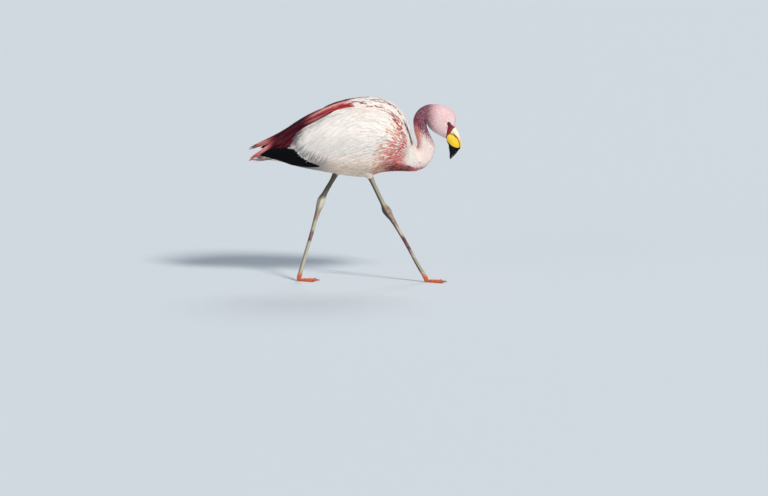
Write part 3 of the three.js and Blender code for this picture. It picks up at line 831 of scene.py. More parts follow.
def heading(degrees):
    return np.array((math.cos(math.radians(degrees)), math.sin(math.radians(degrees)), 0))


def limbFrame(rows, t):
    row = between(rows, t)
    ahead = between(rows, np.minimum(t + 0.05, lastLegRow))[..., :3]
    behind = between(rows, np.maximum(t - 0.05, 0))[..., :3]
    down = unit(ahead - behind)
    side = np.zeros_like(down) + (0, 1, 0)
    side = unit(side - down * down[..., 1:2])
    return row[..., :3], down, side, np.cross(side, down), row[..., 3], row[..., 4]


def limbPoint(rows, t, angle, grow=0):
    centre, _, side, rear, depth, width = limbFrame(rows, t)
    knuckle = 0.9 * np.exp(-(((t - 6.6) / 0.9) ** 2)) * np.abs(np.cos(angle)) ** 3
    groove = 0.5 * smooth(8, 9, t) * smooth(13.4, 12.6, t) * np.abs(np.sin(2 * angle))
    x = (width + grow + knuckle - groove) * np.cos(angle)
    z = (depth + grow - groove) * np.sin(angle)
    return centre + side * x[..., None] + rear * z[..., None]


def toeRoot(label):
    return np.array((*legRows[label][-1][:2], 0.0))


def toeHeading(label, splay):  # in degrees
    return footTurn[label] + sides[label] * splay


def toeSize(share, height, width):  # half width and height along a toe, with its pads
    pad = 1 + 0.1 * np.cos(share * 6 * np.pi)
    return width * (1 - 0.38 * share) * pad, height * (1 - 0.45 * share) * pad


def toeRings(root, length, degrees, height, width, sections=25, ring=14):
    along, side = heading(degrees), heading(degrees + 90)
    share = np.linspace(0, 1, sections)[:, None]
    angle = np.linspace(0, 2 * np.pi, ring, endpoint=False)[None]
    half, tall = toeSize(share, height, width)
    rings = root + along * (length * share)[..., None] + side * (half * np.cos(angle))[..., None]
    rings[..., 2] = np.maximum(0, tall * 0.4 + tall * 0.6 * np.sin(angle))
    return rings


def webPoints(root, tips):
    outline = [root]
    for i, tip in enumerate(tips):
        if i:
            notch = root + ((tips[i - 1] + tip) / 2 - root) * foot["webNotch"]
            f = np.linspace(0, 1, 9)[1:-1, None]
            outline.extend((1 - f) ** 2 * tips[i - 1] + 2 * f * (1 - f) * notch + f**2 * tip)
        outline.append(tip)
    return np.array(outline)


def webMesh(name, root, tips):
    outline = webPoints(root, tips)
    count = len(outline)
    low, high = outline.copy(), outline.copy()
    low[:, 2], high[:, 2] = 0.15, foot["webThick"]
    k = np.arange(count)
    nextK = (k + 1) % count
    walls = np.stack([k, nextK, count + nextK, count + k], -1)
    fan = np.stack([np.zeros(count - 2, int), k[1:-1], k[2:]], -1)
    made = meshObject(name, toFrame(np.concatenate([low, high])), [walls, fan, fan + count])
    outward(made)
    return made


def joined(name, parts):
    for part in bpy.context.selected_objects:
        part.select_set(False)
    for part in parts:
        part.select_set(True)
    bpy.context.view_layer.objects.active = parts[0]
    bpy.ops.object.join()
    parts[0].name = parts[0].data.name = name
    return parts[0]


def settle(piece, modifier):  # the mesh that the modifier makes takes the place of the piece's own
    shown = bpy.context.evaluated_depsgraph_get()
    made = bpy.data.meshes.new_from_object(piece.evaluated_get(shown))
    piece.modifiers.remove(modifier)
    piece.data = made


def applyModifier(piece, kind, **settings):
    modifier = piece.modifiers.new(kind.lower(), kind)
    for key, value in settings.items():
        setattr(modifier, key, value)
    settle(piece, modifier)


def legSkin(label):
    rows = legRows[label]
    t = spaced(0, lastLegRow, lambda v: np.full_like(v, 0.07))
    angle = np.linspace(0, 2 * np.pi, 40, endpoint=False)
    inset = -3.0 * smooth(thighEnd, thighEnd - 0.5, t)
    rings = limbPoint(rows, t[:, None] + 0 * angle, angle + 0 * t[:, None], inset[:, None])
    parts = [tubeMesh("leg", rings)]
    root = toeRoot(label)
    tips = []
    for length, splay, height, width in toes.values():
        degrees = toeHeading(label, splay)
        parts.append(tubeMesh("toe", toeRings(root, length, degrees, height, width)))
        tips.append(root + heading(degrees) * length * foot["webReach"])
    parts.append(webMesh("web", root, tips))
    heel = np.linspace(0.02, np.pi - 0.02, 13)[:, None]
    turn = np.linspace(0, 2 * np.pi, 20, endpoint=False)[None]
    wide, tall = np.sin(heel), np.cos(heel)
    ball = np.stack([wide * np.cos(turn), wide * np.sin(turn), tall + 0 * turn], -1)
    parts.append(tubeMesh("heel", root + (0, 0, foot["heel"]) + ball * (foot["heel"] - 0.1)))
    leg = joined(f"leg_{label}", parts)
    applyModifier(leg, "REMESH", mode="VOXEL", voxel_size=foot["voxel"] / 1000, use_smooth_shade=True)
    applyModifier(leg, "SMOOTH", factor=0.5, iterations=3)
    return leg


# Skin of body, neck and head, and the whole skin
skinGrid = {
    "trunkStep": 0.3,
    "neckStep": 0.18,
    "headStep": 0.1,
    "eyeStep": 0.022,
    "angleStep": 3.6,  # degrees
    "eyeAngleStep": 0.9,
}
lids = {
    "inner": 3.15,  # mm from the middle of the eye
    "rim": 3.6,
    "outer": 6.8,
    "height": 0.4,
    "long": 1.1,
    "tall": 0.92,
    "outward": (0.12, 1, 0.05),
    "forward": (0.62, 0, -0.78),
}
bareFace = {
    "lore": (0.24, 0.014, 0.03),
    "lid": (0.035, 0.006, 0.010),
    "tuck": 2.6,  # mm that the sides of the face draw in under the horn of the bill
    "wrinkles": 900,
    "wrinkleDepth": 0.0003,  # metres
}


def bodySkin():
    def rowStep(t):
        steps = [skinGrid[key] for key in ("trunkStep", "neckStep", "neckStep", "headStep")]
        coarse = np.interp(t, [12, 14, 23, 25], steps)
        near = np.exp(-(((t - eyeRow) / 0.55) ** 4))
        return coarse * (1 - near) + skinGrid["eyeStep"] * near

    def angleStep(angle):
        eyes = (eyeAngle % (2 * np.pi), np.pi - eyeAngle)
        near = sum(np.exp(-(((angle - a) / 0.33) ** 4)) for a in eyes)
        step = skinGrid["angleStep"] * (1 - near) + skinGrid["eyeAngleStep"] * near
        return np.radians(np.maximum(step, skinGrid["eyeAngleStep"]))

    t, angle = spaced(0, lastBodyRow, rowStep), spaced(0, 2 * np.pi, angleStep)[:-1]
    t, angle = np.meshgrid(t, angle, indexing="ij")
    place, normal, *_ = lookUp(t, angle)
    isHead = t > 27
    depth = depthOfCoat(t) + bareFace["tuck"] * smooth(29.6, 31, t) * np.abs(np.cos(angle))
    skin = place - normal * depth[..., None]
    for sign in (-1, 1):
        eye = np.array((eyeSpot["x"], sign * eyeY, eyeSpot["z"]))
        beside = (np.sign(skin[..., 1]) == sign) & isHead
        outside = np.array(lids["outward"]) * (1, sign, 1)
        outside = outside / np.linalg.norm(outside)
        toBill = np.array(lids["forward"])
        offset = skin - eye
        height = offset @ outside
        flat = offset - height[..., None] * outside
        forward = unit(toBill - outside * (toBill @ outside))
        upward = np.cross(outside, forward)
        reach = np.hypot(flat @ forward / lids["long"], flat @ upward / lids["tall"])
        ball = np.sqrt(np.maximum(eyeSpot["radius"] ** 2 - lids["rim"] ** 2, 0)) + lids["height"]
        opening = -1 + (ball + 1) * smooth(lids["inner"], lids["rim"], reach)
        lid = np.where(reach < lids["rim"], opening, ball)
        weight = np.where(reach < lids["rim"], 1, 1 - smooth(lids["rim"], lids["outer"], reach))
        change = (lid - height) * weight * beside * (reach < lids["outer"])
        skin = skin + change[..., None] * outside
    return tubeMesh("skin", skin)


def skinMarks(points):
    t = np.linspace(0, lastBodyRow, 311)
    centre = bodySection(t)[0]
    nearest = np.zeros(len(points))
    for chunk in np.array_split(np.arange(len(points)), 40):
        gap = np.linalg.norm(points[chunk][:, None, [0, 2]] - centre, axis=-1)
        nearest[chunk] = t[gap.argmin(1)]
    marks = plumageMarks(points, nearest)
    breast = breastMask(points) * smooth(15, 13, nearest)
    marks["red"] = np.maximum(marks["red"], 0.5 * breast)
    isHead = nearest > 27
    lore, brow, _ = loreMask(points)
    marks["lore"] = lore * isHead
    toEye = np.hypot(points[:, 0] - eyeSpot["x"], points[:, 2] - eyeSpot["z"])
    edge = np.exp(-((brow / 1.0) ** 2)) * lore
    marks["lid"] = np.clip(np.maximum(smooth(5.2, 4.3, toEye), edge), 0, 1) * isHead
    return marks


bareSkin = {
    "bone": (0.53, 0.49, 0.36),
    "olive": (0.10, 0.092, 0.06),
    "pale": (0.74, 0.71, 0.56),
    "shade": (0.055, 0.045, 0.04),
    "mauve": (0.16, 0.032, 0.055),
    "joint": (0.30, 0.15, 0.125),
    "foot": (0.66, 0.12, 0.035),
    "crease": (0.12, 0.06, 0.05),
    "scales": 1150,
    "scaleDepth": 0.00025,
}
legMarks = {
    # mm above the floor where each band comes in and goes out
    "mauve": {"right": (62, 88, 112, 124), "left": (98, 105, 122, 131)},
    "blush": {"right": (134, 148, 188, 202), "left": (148, 158, 172, 184)},
    "pale": {"left": (183, 189, 204, 210)},
    "oliveFrom": {"right": (190, 215), "left": (206, 216)},
    # on the left leg the dark shank is mostly painted shadow of the body; on the right it is the shank's
    # own olive
    "olive": {"right": 0.35, "left": 0.92},  # how dark the shank is
    "oliveLow": (22, 30, 58, 66),  # a second dark stretch, on the right leg
    # rear: painted shade down the back of each leg, how dark
    "rear": {"right": 1.0, "left": 0.6},  # how dark the back of the leg is
    "top": 300,
}


def legPlaces(points):
    marks = {key: np.zeros(len(points)) for key in ("bandMauve", "blush", "pale", "olive", "rear")}
    x, y, z = points.T
    for label, sign in sides.items():
        rows = np.array(legRows[label])
        mine = (np.sign(y) == sign) & (z < legMarks["top"])
        for key, mark in (("bandMauve", "mauve"), ("blush", "blush"), ("pale", "pale")):
            if label in legMarks[mark]:
                low, up, down, high = legMarks[mark][label]
                marks[key][mine] = (smooth(low, up, z) * smooth(high, down, z))[mine]
        olive = smooth(*legMarks["oliveFrom"][label], z)
        if label == "right":
            low, up, down, high = legMarks["oliveLow"]
            olive = olive + smooth(high, down, z) * smooth(low, up, z)
        marks["olive"][mine] = (legMarks["olive"][label] * olive)[mine]
        middle = np.interp(z, rows[::-1, 2], rows[::-1, 0])
        # painted shade down the back of the leg
        behind = smooth(-0.5, 3.6, middle - x) * smooth(14, 30, z)
        marks["rear"][mine] = (legMarks["rear"][label] * behind)[mine]
    return marks


def legFinish(name="legSkin", isPlate=False):
    finish = Finish(name, **{"Specular IOR Level": 0.4})
    place = finish.place()
    _, _, z = finish.axes(place)
    mottle = finish.noise(place, 90)
    patches = mottle.ramp(0.35, 0.62)
    base = finish.layered(
        bareSkin["bone"],
        (finish.attribute("pale") * (0.5 + patches * 0.5), bareSkin["pale"]),
        (finish.attribute("olive"), bareSkin["olive"]),
        (finish.attribute("blush") * (0.4 + patches * 0.55), bareSkin["joint"]),
        (finish.attribute("bandMauve") * (0.65 + patches * 0.35), bareSkin["mauve"]),
        # painted shade down the back of the leg
        (finish.attribute("rear"), bareSkin["shade"]),
        (1 - (z + (mottle - 0.5) * 0.02).ramp(0.012, 0.026), bareSkin["foot"]),
    )
    if isPlate:
        finish.colour(finish.mix(mottle * 0.2, base, bareSkin["crease"]))
        finish.roughness(0.45 + mottle * 0.15)
        finish.bump(finish.noise(place, 1800), 0.00012, 0.5)
        return finish
    scales = finish.cells(finish.scaled(place, (1, 1, 0.8)), bareSkin["scales"])
    crease = 1 - scales.ramp(0, 0.16)
    finish.colour(finish.mix(crease * 0.4, base, bareSkin["crease"]))
    finish.roughness(0.52 + crease * 0.25)
    finish.bump(scales.ramp(0, 0.3), bareSkin["scaleDepth"], 0.8)
    return finish


# Scutes: plates in rows down the front of the legs and along the toes
scutes = {
    "legStep": 2.9,  # mm from plate to plate
    "toeStep": 2.2,
    "length": 1.35,  # half a plate's length, as a share of the step
    "forward": 0.42,  # mm that the rows stand out
    "uneven": 0.07,
    "seed": 4,
    "segments": 14,
    "rings": 8,
    "rows": {"shank": (2.5, 5.3, 12), "tarsus": (8.1, 13.3, 24)},  # from row, to row, points of the path
}


def scuteTree():
    group = bpy.data.node_groups.new("scuteRow", "GeometryNodeTree")
    kinds = {"Path": "Geometry", "Spacing": "Float", "Uneven": "Float", "Seed": "Int",
             "Segments": "Int", "Rings": "Int", "Finish": "Material"}
    for name, kind in kinds.items():
        group.interface.new_socket(name, in_out="INPUT", socket_type=f"NodeSocket{kind}")
    group.interface.new_socket("Plates", in_out="OUTPUT", socket_type="NodeSocketGeometry")
    tree = Tree(group)
    given = group.nodes.new("NodeGroupInput")
    asked = {socket.name: Field(tree, socket) for socket in given.outputs if socket.name}
    curve = tree.node("GeometryNodeMeshToCurve", inputs={"Mesh": asked["Path"]})
    stops = tree.node("GeometryNodeResampleCurve", {"mode": "LENGTH"},
                      {"Curve": curve, "Length": asked["Spacing"]})
    size, beside = (
        tree.node("GeometryNodeInputNamedAttribute", {"data_type": "FLOAT_VECTOR"}, {"Name": name})
        for name in ("plateSize", "beside")
    )
    tangent = tree.node("GeometryNodeInputTangent")
    turn = tree.node("FunctionNodeAlignRotationToVector", {"axis": "Z"}, {"Vector": tangent})
    turn = tree.node("FunctionNodeAlignRotationToVector", {"axis": "X", "pivot_axis": "Z"},
                     {"Rotation": turn, "Vector": beside})
    limits = {2: 1 - asked["Uneven"], 3: 1 + asked["Uneven"], 8: asked["Seed"]}
    change = tree.node("FunctionNodeRandomValue", {"data_type": "FLOAT"}, limits, 1)
    size = tree.node("ShaderNodeVectorMath", {"operation": "SCALE"}, {0: size, "Scale": change})
    plate = tree.node("GeometryNodeMeshUVSphere",
                      inputs={"Segments": asked["Segments"], "Rings": asked["Rings"]})
    plates = tree.node("GeometryNodeInstanceOnPoints",
                       inputs={"Points": stops, "Instance": plate, "Rotation": turn, "Scale": size})
    plates = tree.node("GeometryNodeRealizeInstances", inputs=[plates])
    plates = tree.node("GeometryNodeSetMaterial",
                       inputs={"Geometry": plates, "Material": asked["Finish"]})
    tree.plug(group.nodes.new("NodeGroupOutput").inputs[0], plates)
    return group


# A chain of edges, with the plates' size and cross direction at each point.
def scutePath(centres, beside, size):
    mesh = bpy.data.meshes.new("scutePath")
    count = len(centres)
    mesh.from_pydata(toFrame(centres).tolist(), [(k, k + 1) for k in range(count - 1)], [])
    for key, values in (("beside", beside), ("plateSize", size / 1000)):
        layer = mesh.attributes.new(key, "FLOAT_VECTOR", "POINT")
        layer.data.foreach_set("vector", np.broadcast_to(values, (count, 3)).astype(np.float32).ravel())
    made = bpy.data.objects.new("scutePath", mesh)
    bpy.context.scene.collection.objects.link(made)
    return made


def scuteRow(path, group, finish, step, row):
    modifier = path.modifiers.new("scutes", "NODES")
    modifier.node_group = group
    values = {"Spacing": step / 1000, "Uneven": scutes["uneven"], "Seed": scutes["seed"] + row,
              "Segments": scutes["segments"], "Rings": scutes["rings"], "Finish": finish.material}
    for item in group.interface.items_tree:
        if item.in_out == "INPUT" and item.name in values:
            modifier[item.identifier] = values[item.name]
    settle(path, modifier)
    mesh = path.data
    perPlate = scutes["segments"] * (scutes["rings"] - 1) + 2
    spot = np.arange(len(mesh.vertices))
    plates = max(1, len(spot) // perPlate)
    onPlate = spot % perPlate
    patch = np.stack([onPlate % scutes["segments"] / scutes["segments"], onPlate / perPlate], -1) * 0.003
    root = np.stack([0.1 + 0.8 * (spot // perPlate) / plates, np.full(len(spot), 0.1 + 0.2 * row)], -1)
    corners = np.zeros(len(mesh.loops), int)
    mesh.loops.foreach_get("vertex_index", corners)
    for layer in list(mesh.uv_layers):
        mesh.uv_layers.remove(layer)
    layer = mesh.uv_layers.new(name="OFBake")
    layer.data.foreach_set("uv", (root + patch)[corners].astype(np.float32).ravel())
    mesh.polygons.foreach_set("use_smooth", np.ones(len(mesh.polygons), bool))
    return path


def buildScutes():
    group = scuteTree()
    finish = legFinish("scutePlates", isPlate=True)
    for label, rows in legRows.items():
        parts = []
        for first, last, count in scutes["rows"].values():
            t = np.linspace(first, last, count)
            centre, _, side, rear, depth, width = limbFrame(rows, t)
            plateLength = np.full(count, scutes["length"] * scutes["legStep"])
            size = np.stack([width - 0.1, depth, plateLength], -1)
            path = scutePath(centre - rear * scutes["forward"], side, size)
            parts.append(scuteRow(path, group, finish, scutes["legStep"], len(parts)))
        for length, splay, height, width in toes.values():
            degrees = toeHeading(label, splay)
            share = np.linspace(0.16, 0.93, 20)[:, None]
            half, tall = toeSize(share, height, width)
            centre = toeRoot(label) + heading(degrees) * length * share
            centre[:, 2:] = tall * 0.4
            plateLength = 0 * half + scutes["length"] * scutes["toeStep"]
            size = np.concatenate([half * 0.86, tall * 0.6 + 0.25, plateLength], 1)
            path = scutePath(centre, heading(degrees + 90), size)
            parts.append(scuteRow(path, group, finish, scutes["toeStep"], len(parts)))
        piece = joined(f"scutes_{label}", parts)
        addMarks(piece.data, legPlaces(meshPoints(piece.data)))
        finishPiece(piece, "leg_skin")


# The whole skin
legTop = {
    "bare": 266,  # mm: below this all is leg
    "thigh": 274,  # and below this what lies outside the trunk
}


def buildSkin():
    skin = bodySkin()
    for label in sides:
        leg = legSkin(label)
        applyModifier(skin, "BOOLEAN", operation="UNION", solver="EXACT", object=leg)
        bpy.data.objects.remove(leg)
    skin.name = skin.data.name = "skin"
    points = meshPoints(skin.data)
    addMarks(skin.data, skinMarks(points) | legPlaces(points))
    skin.data.materials.clear()
    for finish in (plumageFinish("skinUnderFeathers", isSkin=True), legFinish()):
        skin.data.materials.append(finish.material)
    z = points[:, 2]
    isLeg = (z < legTop["bare"]) | ((z < legTop["thigh"]) & ~insideTrunk(points, 1))
    first = np.array([p.vertices[0] for p in skin.data.polygons])
    skin.data.polygons.foreach_set("material_index", isLeg[first].astype(np.int32))
    skin.data.polygons.foreach_set("use_smooth", np.ones(len(first), bool))
    nodes = ["trunk", "neck_base", "neck_middle", "neck_upper", "head"]
    for label in sides:
        nodes.extend(f"{part}_{label}" for part in ("wing", "thigh", "shank", "ankle", "tarsus", "foot"))
    finishPiece(skin, "plumage", *nodes)


# Coat, region by region
def unwrap(t, angle, rowRange):
    low, high = rowRange
    return np.stack([(t - low) / (high - low), angle % (2 * np.pi) / (2 * np.pi)], -1)


def always(*_):
    return 1


# wanted, sized and lift are asked for each root; coloured changes the marks where the feather shows
def coat(
    name, finish, zone, slotName="plumage", wanted=always, sized=always, coloured=None, lift=always
):
    rows = zone["rows"]
    t, angle = scatter(rows, zone["spacing"])
    place, *_ = lookUp(t, angle)
    kept = random.random(len(t)) < wanted(place, t, angle)
    t, angle, place = t[kept], angle[kept], place[kept]
    count = len(t)
    size = sized(place, t, angle) * random.uniform(0.82, 1.18, count)
    yaw = yawOfCoat(t, angle) + np.radians(random.normal(0, zone["loose"], count))
    rise = random.uniform(*zone["rise"], count)
    raised = lift(place, t, angle) * zone.get("lift", 0)
    kind = zone.get("kind", "lance")
    length = zone["length"] * size
    path, normal = lieOn(t, angle, length, yaw, zone["points"], depthOfCoat(t), rise, raised, kind)
    seen = path[:, -2]
    marks = plumageMarks(path, t[:, None]) if zone.get("rowMarks") else plumageMarks(seen, t)
    if coloured:
        coloured(marks, seen, t, angle)
    width = zone["width"] / 2 * size
    piece = vanes(name, path, normal, width, zone["thick"], marks, unwrap(t, angle, rows),
                  kind=kind, style=zone.get("style", "slim"), materials=[finish])
    finishPiece(piece, slotName)


zones = {
    "head": {"rows": (24.3, 30.85), "spacing": (1.5, 1.1), "length": 7.0, "width": 1.7, "points": 4,
             "thick": 0.1, "rise": (-0.15, 0.05), "loose": 7},
    "neck": {"rows": (15.5, 24.6), "spacing": (2.2, 1.5), "length": 11, "width": 2.3, "points": 4,
             "thick": 0.12, "rise": (-0.25, 0.05), "loose": 6},
    "breast": {"rows": (8.6, 16.2), "spacing": (3.3, 2.3), "length": 17, "width": 3.3, "points": 5,
               "thick": 0.16, "rise": (-0.4, 0.1), "loose": 8},
    "trunk": {"rows": (0.0, 9.4), "spacing": (4.4, 3.0), "length": 26, "width": 4.6, "points": 5,
              "thick": 0.2, "rise": (-0.5, 0.1), "loose": 8},
    "wing": {"rows": (1.6, 11.4), "spacing": (5.6, 4.6), "length": 30, "width": 9.0, "points": 7,
             "thick": 0.2, "rise": (-0.4, 0.0), "loose": 5, "kind": "round", "style": "broad",
             "rowMarks": True},
    "scapular": {"rows": (2.6, 10.0), "spacing": (10.0, 6.0), "length": 52, "width": 8.5, "points": 9,
                 "thick": 0.2, "rise": (-0.2, 0.4), "loose": 5, "kind": "round", "style": "broad",
                 "lift": 0.6, "rowMarks": True},
    "streaks": {"rows": (7.8, 15.6), "spacing": (4.4, 3.6), "length": 19, "width": 3.7, "points": 6,
                "thick": 0.2, "rise": (0.0, 0.4), "loose": 7, "lift": 0.4},
    "mantle": {"rows": (0.4, 12.2), "spacing": (5.6, 3.0), "length": 34, "width": 4.2, "points": 6,
               "thick": 0.25, "rise": (0.0, 0.5), "loose": 5, "lift": 1.0},
}


def onWing(t, angle, margin=0.0):
    u, v = wingPlace(t, angle)
    return (u > margin) & (u < 1 - margin) & (v > margin) & (v < 1 - margin)


def onHead(place, t, angle):
    mask, brow, _ = loreMask(place)
    nearEye = np.hypot(place[..., 0] - eyeSpot["x"], place[..., 2] - eyeSpot["z"]) < 4.6
    return (mask < 0.3) & ~nearEye & ~((t > 30.3) & (brow > -1.5))


def wingSize(place, t, angle):
    return 0.5 + 0.7 * smooth(0.95, 0.25, wingPlace(t, angle)[0])


def scapularWanted(place, t, angle):
    u, v = wingPlace(t, angle)
    return smooth(0.1, 0.3, u) * smooth(0.9, 0.75, u) * smooth(0.02, 0.12, v) * (v < 0.98)


def scapularColours(marks, seen, t, angle):
    count = len(t)
    marks["flush"] = marks["flush"] + 0.14 * random.random((count, 1)) ** 3
    marks["grey"] = np.maximum(marks["grey"], 0.1 * random.random((count, 1)) ** 2)


def streakWanted(place, t, angle):
    return breastMask(place) * (0.22 + 0.74 * smooth(362, 330, sideHeight(place)))


# painted shade: the breast turns near black maroon underneath
def breastUnderShade(points):  # near black maroon underneath, before it runs out on the throat
    x = points[..., 0]
    return smooth(297, 284, sideHeight(points)) * smooth(66, 84, x) * smooth(152, 128, x)


def breastMargin(points):  # 1 at the ragged rear edge of the crimson, 0 further forward
    heights, rear, _ = zip(*markings["breast"])
    return smooth(34, 4, points[..., 0] - np.interp(sideHeight(points), heights, rear))


def streakColours(marks, seen, t, angle):
    count = len(t)
    margin = breastMargin(seen)
    marks["flush"] = np.full(count, 0.3)
    marks["buff"] = 0.6 * margin
    marks["salmon"] = random.uniform(0.55, 1.0, count)
    isPale = random.random(count) < 0.2
    redness = np.where(isPale, 0.1, random.uniform(0.05, 0.75, count))
    marks["red"] = redness * (1 - 0.5 * margin)
    marks["dark"] = breastUnderShade(seen) * random.uniform(0.3, 1, count)


# The white feathers between the streaks take up the colour low down.
def breastColours(marks, seen, t, angle):
    h = sideHeight(seen)
    count = len(t)
    dense = breastMask(seen) * smooth(334, 306, h) * (1 - breastMargin(seen))
    marks["salmon"] = np.maximum(marks["salmon"], dense * random.uniform(0.2, 0.9, count))
    isRed = random.random(count) < 0.55
    marks["red"] = np.maximum(marks["red"], dense * isRed * random.uniform(0.3, 0.9, count))
    marks["flush"] = np.maximum(marks["flush"], 0.25 * breastMask(seen))
    marks["dark"] = np.maximum(marks["dark"], dense * breastUnderShade(seen) * random.uniform(0.4, 1, count))


def mantleColours(marks, seen, t, angle):
    count = len(t)
    marks["red"] = marks["red"] * random.uniform(0.9, 1.0, count)
    marks["salmon"] = marks["salmon"] * random.uniform(0.4, 0.9, count)
    # dark carries the band's painted shade over the top of the back
    marks["dark"] = marks["dark"] * random.uniform(0.5, 1.0, count)


def mantleLift(place, t, angle):
    return 0.4 + (0.6 + 7 * smooth(7.2, 4.6, t)) * smooth(51, 68, upFromSide(angle))


# Feathers set along runs of (x, height), in mm. "under" is the least share of the mantle's lift that one
# takes. First the thin crimson streaks of the shoulder.
shoulderRuns = [
    [(-10, 441), (5, 448), (35, 447.5)],
    [(28, 444), (44, 442)],
    [(-25, 437), (2, 437.5)],
    [(-12, 456), (22, 459), (45, 459)],
    [(43, 435), (62, 435)],
    [(50, 451), (74, 451), (92, 441), (112, 424)],
    [(62, 446), (88, 442), (104, 432), (120, 410)],
    [(70, 433), (82, 426), (97, 418), (108, 406)],
    [(78, 424), (92, 417), (108, 409), (124, 385)],
    [(98, 410), (112, 395), (122, 375), (130, 352)],
    [(106, 394), (118, 376), (127, 352)],
    [(104, 405), (113, 388), (116, 372)],
]
shoulder = {"step": 9.0, "perStep": 2, "length": 15, "width": 2.8, "points": 5, "thick": 0.22,
            "lift": 0.8, "under": 1, "red": 1.0, "dark": 0.0}
# The dark feathers that stand a little off the top of the back, where the crimson band begins; their
# dark is painted shade.
ridgeRuns = [[(-46, 445), (-18, 453)], [(-36, 447), (-10, 455)]]
ridge = {"step": 3.0, "perStep": 2, "length": 34, "width": 4.4, "points": 6, "thick": 0.25,
         "lift": 1.0, "under": 1, "red": 1.0, "dark": 0.9}
# White feathers that close the gap between the crimson band and the wing.
gapRuns = [
    [(-128, 389), (-92, 413), (-62, 426), (-25, 436)],
    [(-125, 383), (-90, 406), (-61, 419), (-25, 430)],
]
gap = {"step": 3.2, "perStep": 3, "length": 26, "width": 6.4, "points": 6, "thick": 0.2,
       "lift": 0.4, "under": 0.1, "red": 0.0, "dark": 0.0}


def surfaceAt(x, h, sign):  # row and angle of the place seen at x and height h on one side
    away = np.hypot(field[:, :, 0] - x, sideHeight(field[..., :3]) - h)
    outermost = np.maximum(away, 1.5) * 10 - field[:, :, 1] * sign
    i, j = np.unravel_index(outermost.argmin(), away.shape)
    return fieldT[i], fieldAngle[j]


def buildAlongRuns(name, runs, style, finish):
    roots = []
    for sign in sides.values():
        for run in runs:
            run = np.array(run, float)
            lengths = np.linalg.norm(np.diff(run, axis=0), axis=1)
            reach = np.concatenate([[0], np.cumsum(lengths)])
            for d in np.arange(0, reach[-1] + 1, style["step"]):
                for _ in range(style["perStep"]):
                    x = np.interp(d, reach, run[:, 0]) + random.normal(0, 1.0)
                    h = np.interp(d, reach, run[:, 1]) + random.normal(0, 0.5)
                    roots.append(surfaceAt(x, h, sign))
    t, angle = np.array(roots).T
    count = len(t)
    size = random.uniform(0.75, 1.2, count)
    yaw = yawOfCoat(t, angle) + np.radians(random.normal(0, 5, count))
    raised = mantleLift(None, t, angle) * (t < 12) * (upFromSide(angle) > 50)
    lift = style["lift"] + raised * random.uniform(style["under"], 1, count)
    length = style["length"] * size
    path, normal = lieOn(t, angle, length, yaw, style["points"], depthOfCoat(t), 0.2, lift)
    marks = plumageMarks(path[:, -2], t)
    marks["red"] = np.maximum(marks["red"], style["red"] * random.uniform(0.6, 1.0, count))
    marks["dark"] = np.maximum(marks["dark"], style["dark"] * random.uniform(0.7, 1.0, count))
    marks["buff"] = np.full(count, 0.4 * style["red"])
    piece = vanes(name, path, normal, style["width"] / 2 * size, style["thick"], marks,
                  unwrap(t, angle, (0, 16)), materials=[finish])
    finishPiece(piece, "crimson_plumage" if style["red"] else "plumage")


# The long soft ends of the wing that hang over the black feathers: root and tip as (x, height).
fringe = {
    "roots": [(-127, 361), (-117, 358), (-105, 351), (-88, 344), (-68, 335), (-48, 325), (-28, 318)],
    "tips": [(-151, 338), (-143, 323), (-130, 311), (-112, 303), (-92, 296), (-74, 291), (-56, 288)],
    "reach": [45.5, 47.5, 50, 52, 53.5, 53.5, 50],  # mm from the middle of the body to the tips
    "count": 84,
    "layers": (1, 0.35, 0.12),  # how far each hangs out, as a share of the outermost
    "layerStep": (5, 10),  # mm ahead and up from one layer to the next
    "points": 8,
    "width": 3.6,
    "thick": 0.2,
    "sunk": 2.2,
}


def buildFringe(finish):
    share = np.linspace(0, 1, fringe["points"])
    for label, sign in sides.items():
        paths, normals, fringeShade = [], [], []
        for layer, outShare in enumerate(fringe["layers"]):
            ends = np.sort(np.linspace(0, 1, fringe["count"]) + random.normal(0, 0.01, fringe["count"]))
            for q in np.clip(ends, 0, 1) * (len(fringe["roots"]) - 1):
                shift = np.array(fringe["layerStep"]) * layer
                root = between(fringe["roots"], q) + shift
                tip = between(fringe["tips"], q) + shift
                tip = tip + (tip - root) * random.normal(-0.03, 0.1)
                start, end = surfaceAt(*root, sign), surfaceAt(*tip, sign)
                run = np.outer(1 - share, start) + np.outer(share, end)
                place, normal, *_ = lookUp(run[:, 0], run[:, 1])
                out = np.interp(q, range(len(fringe["reach"])), fringe["reach"]) - np.abs(place[-1, 1])
                out = max(out, 0.5) * outShare * smooth(0.1, 0.8, share)
                place = place - normal * (fringe["sunk"] * (1 - share) ** 1.5)[:, None]
                place[:, 1] += sign * out
                place[:, 2] += out * sinView / cosView
                paths.append(place)
                normals.append(unit(normal + (0, 0.8 * sign, 0)))
                # painted shade: the hanging ends greyer towards their tips
                grey = random.uniform(0.6, 0.85) * (1 - 0.15 * layer)
                fringeShade.append(grey * smooth(0.05, 0.75, share))
        path, normal = np.array(paths), np.array(normals)
        count = len(path)
        marks = {tint: np.zeros(count) for tint in tints} | {"grey": np.array(fringeShade)}
        root = np.stack([random.random(count), random.random(count)], -1)
        half = fringe["width"] / 2 * random.uniform(0.7, 1.15, count)
        piece = vanes(f"fringe_{label}", path, normal, half, fringe["thick"], marks, root,
                      style="broad", materials=[finish])
        finishPiece(piece, "plumage")


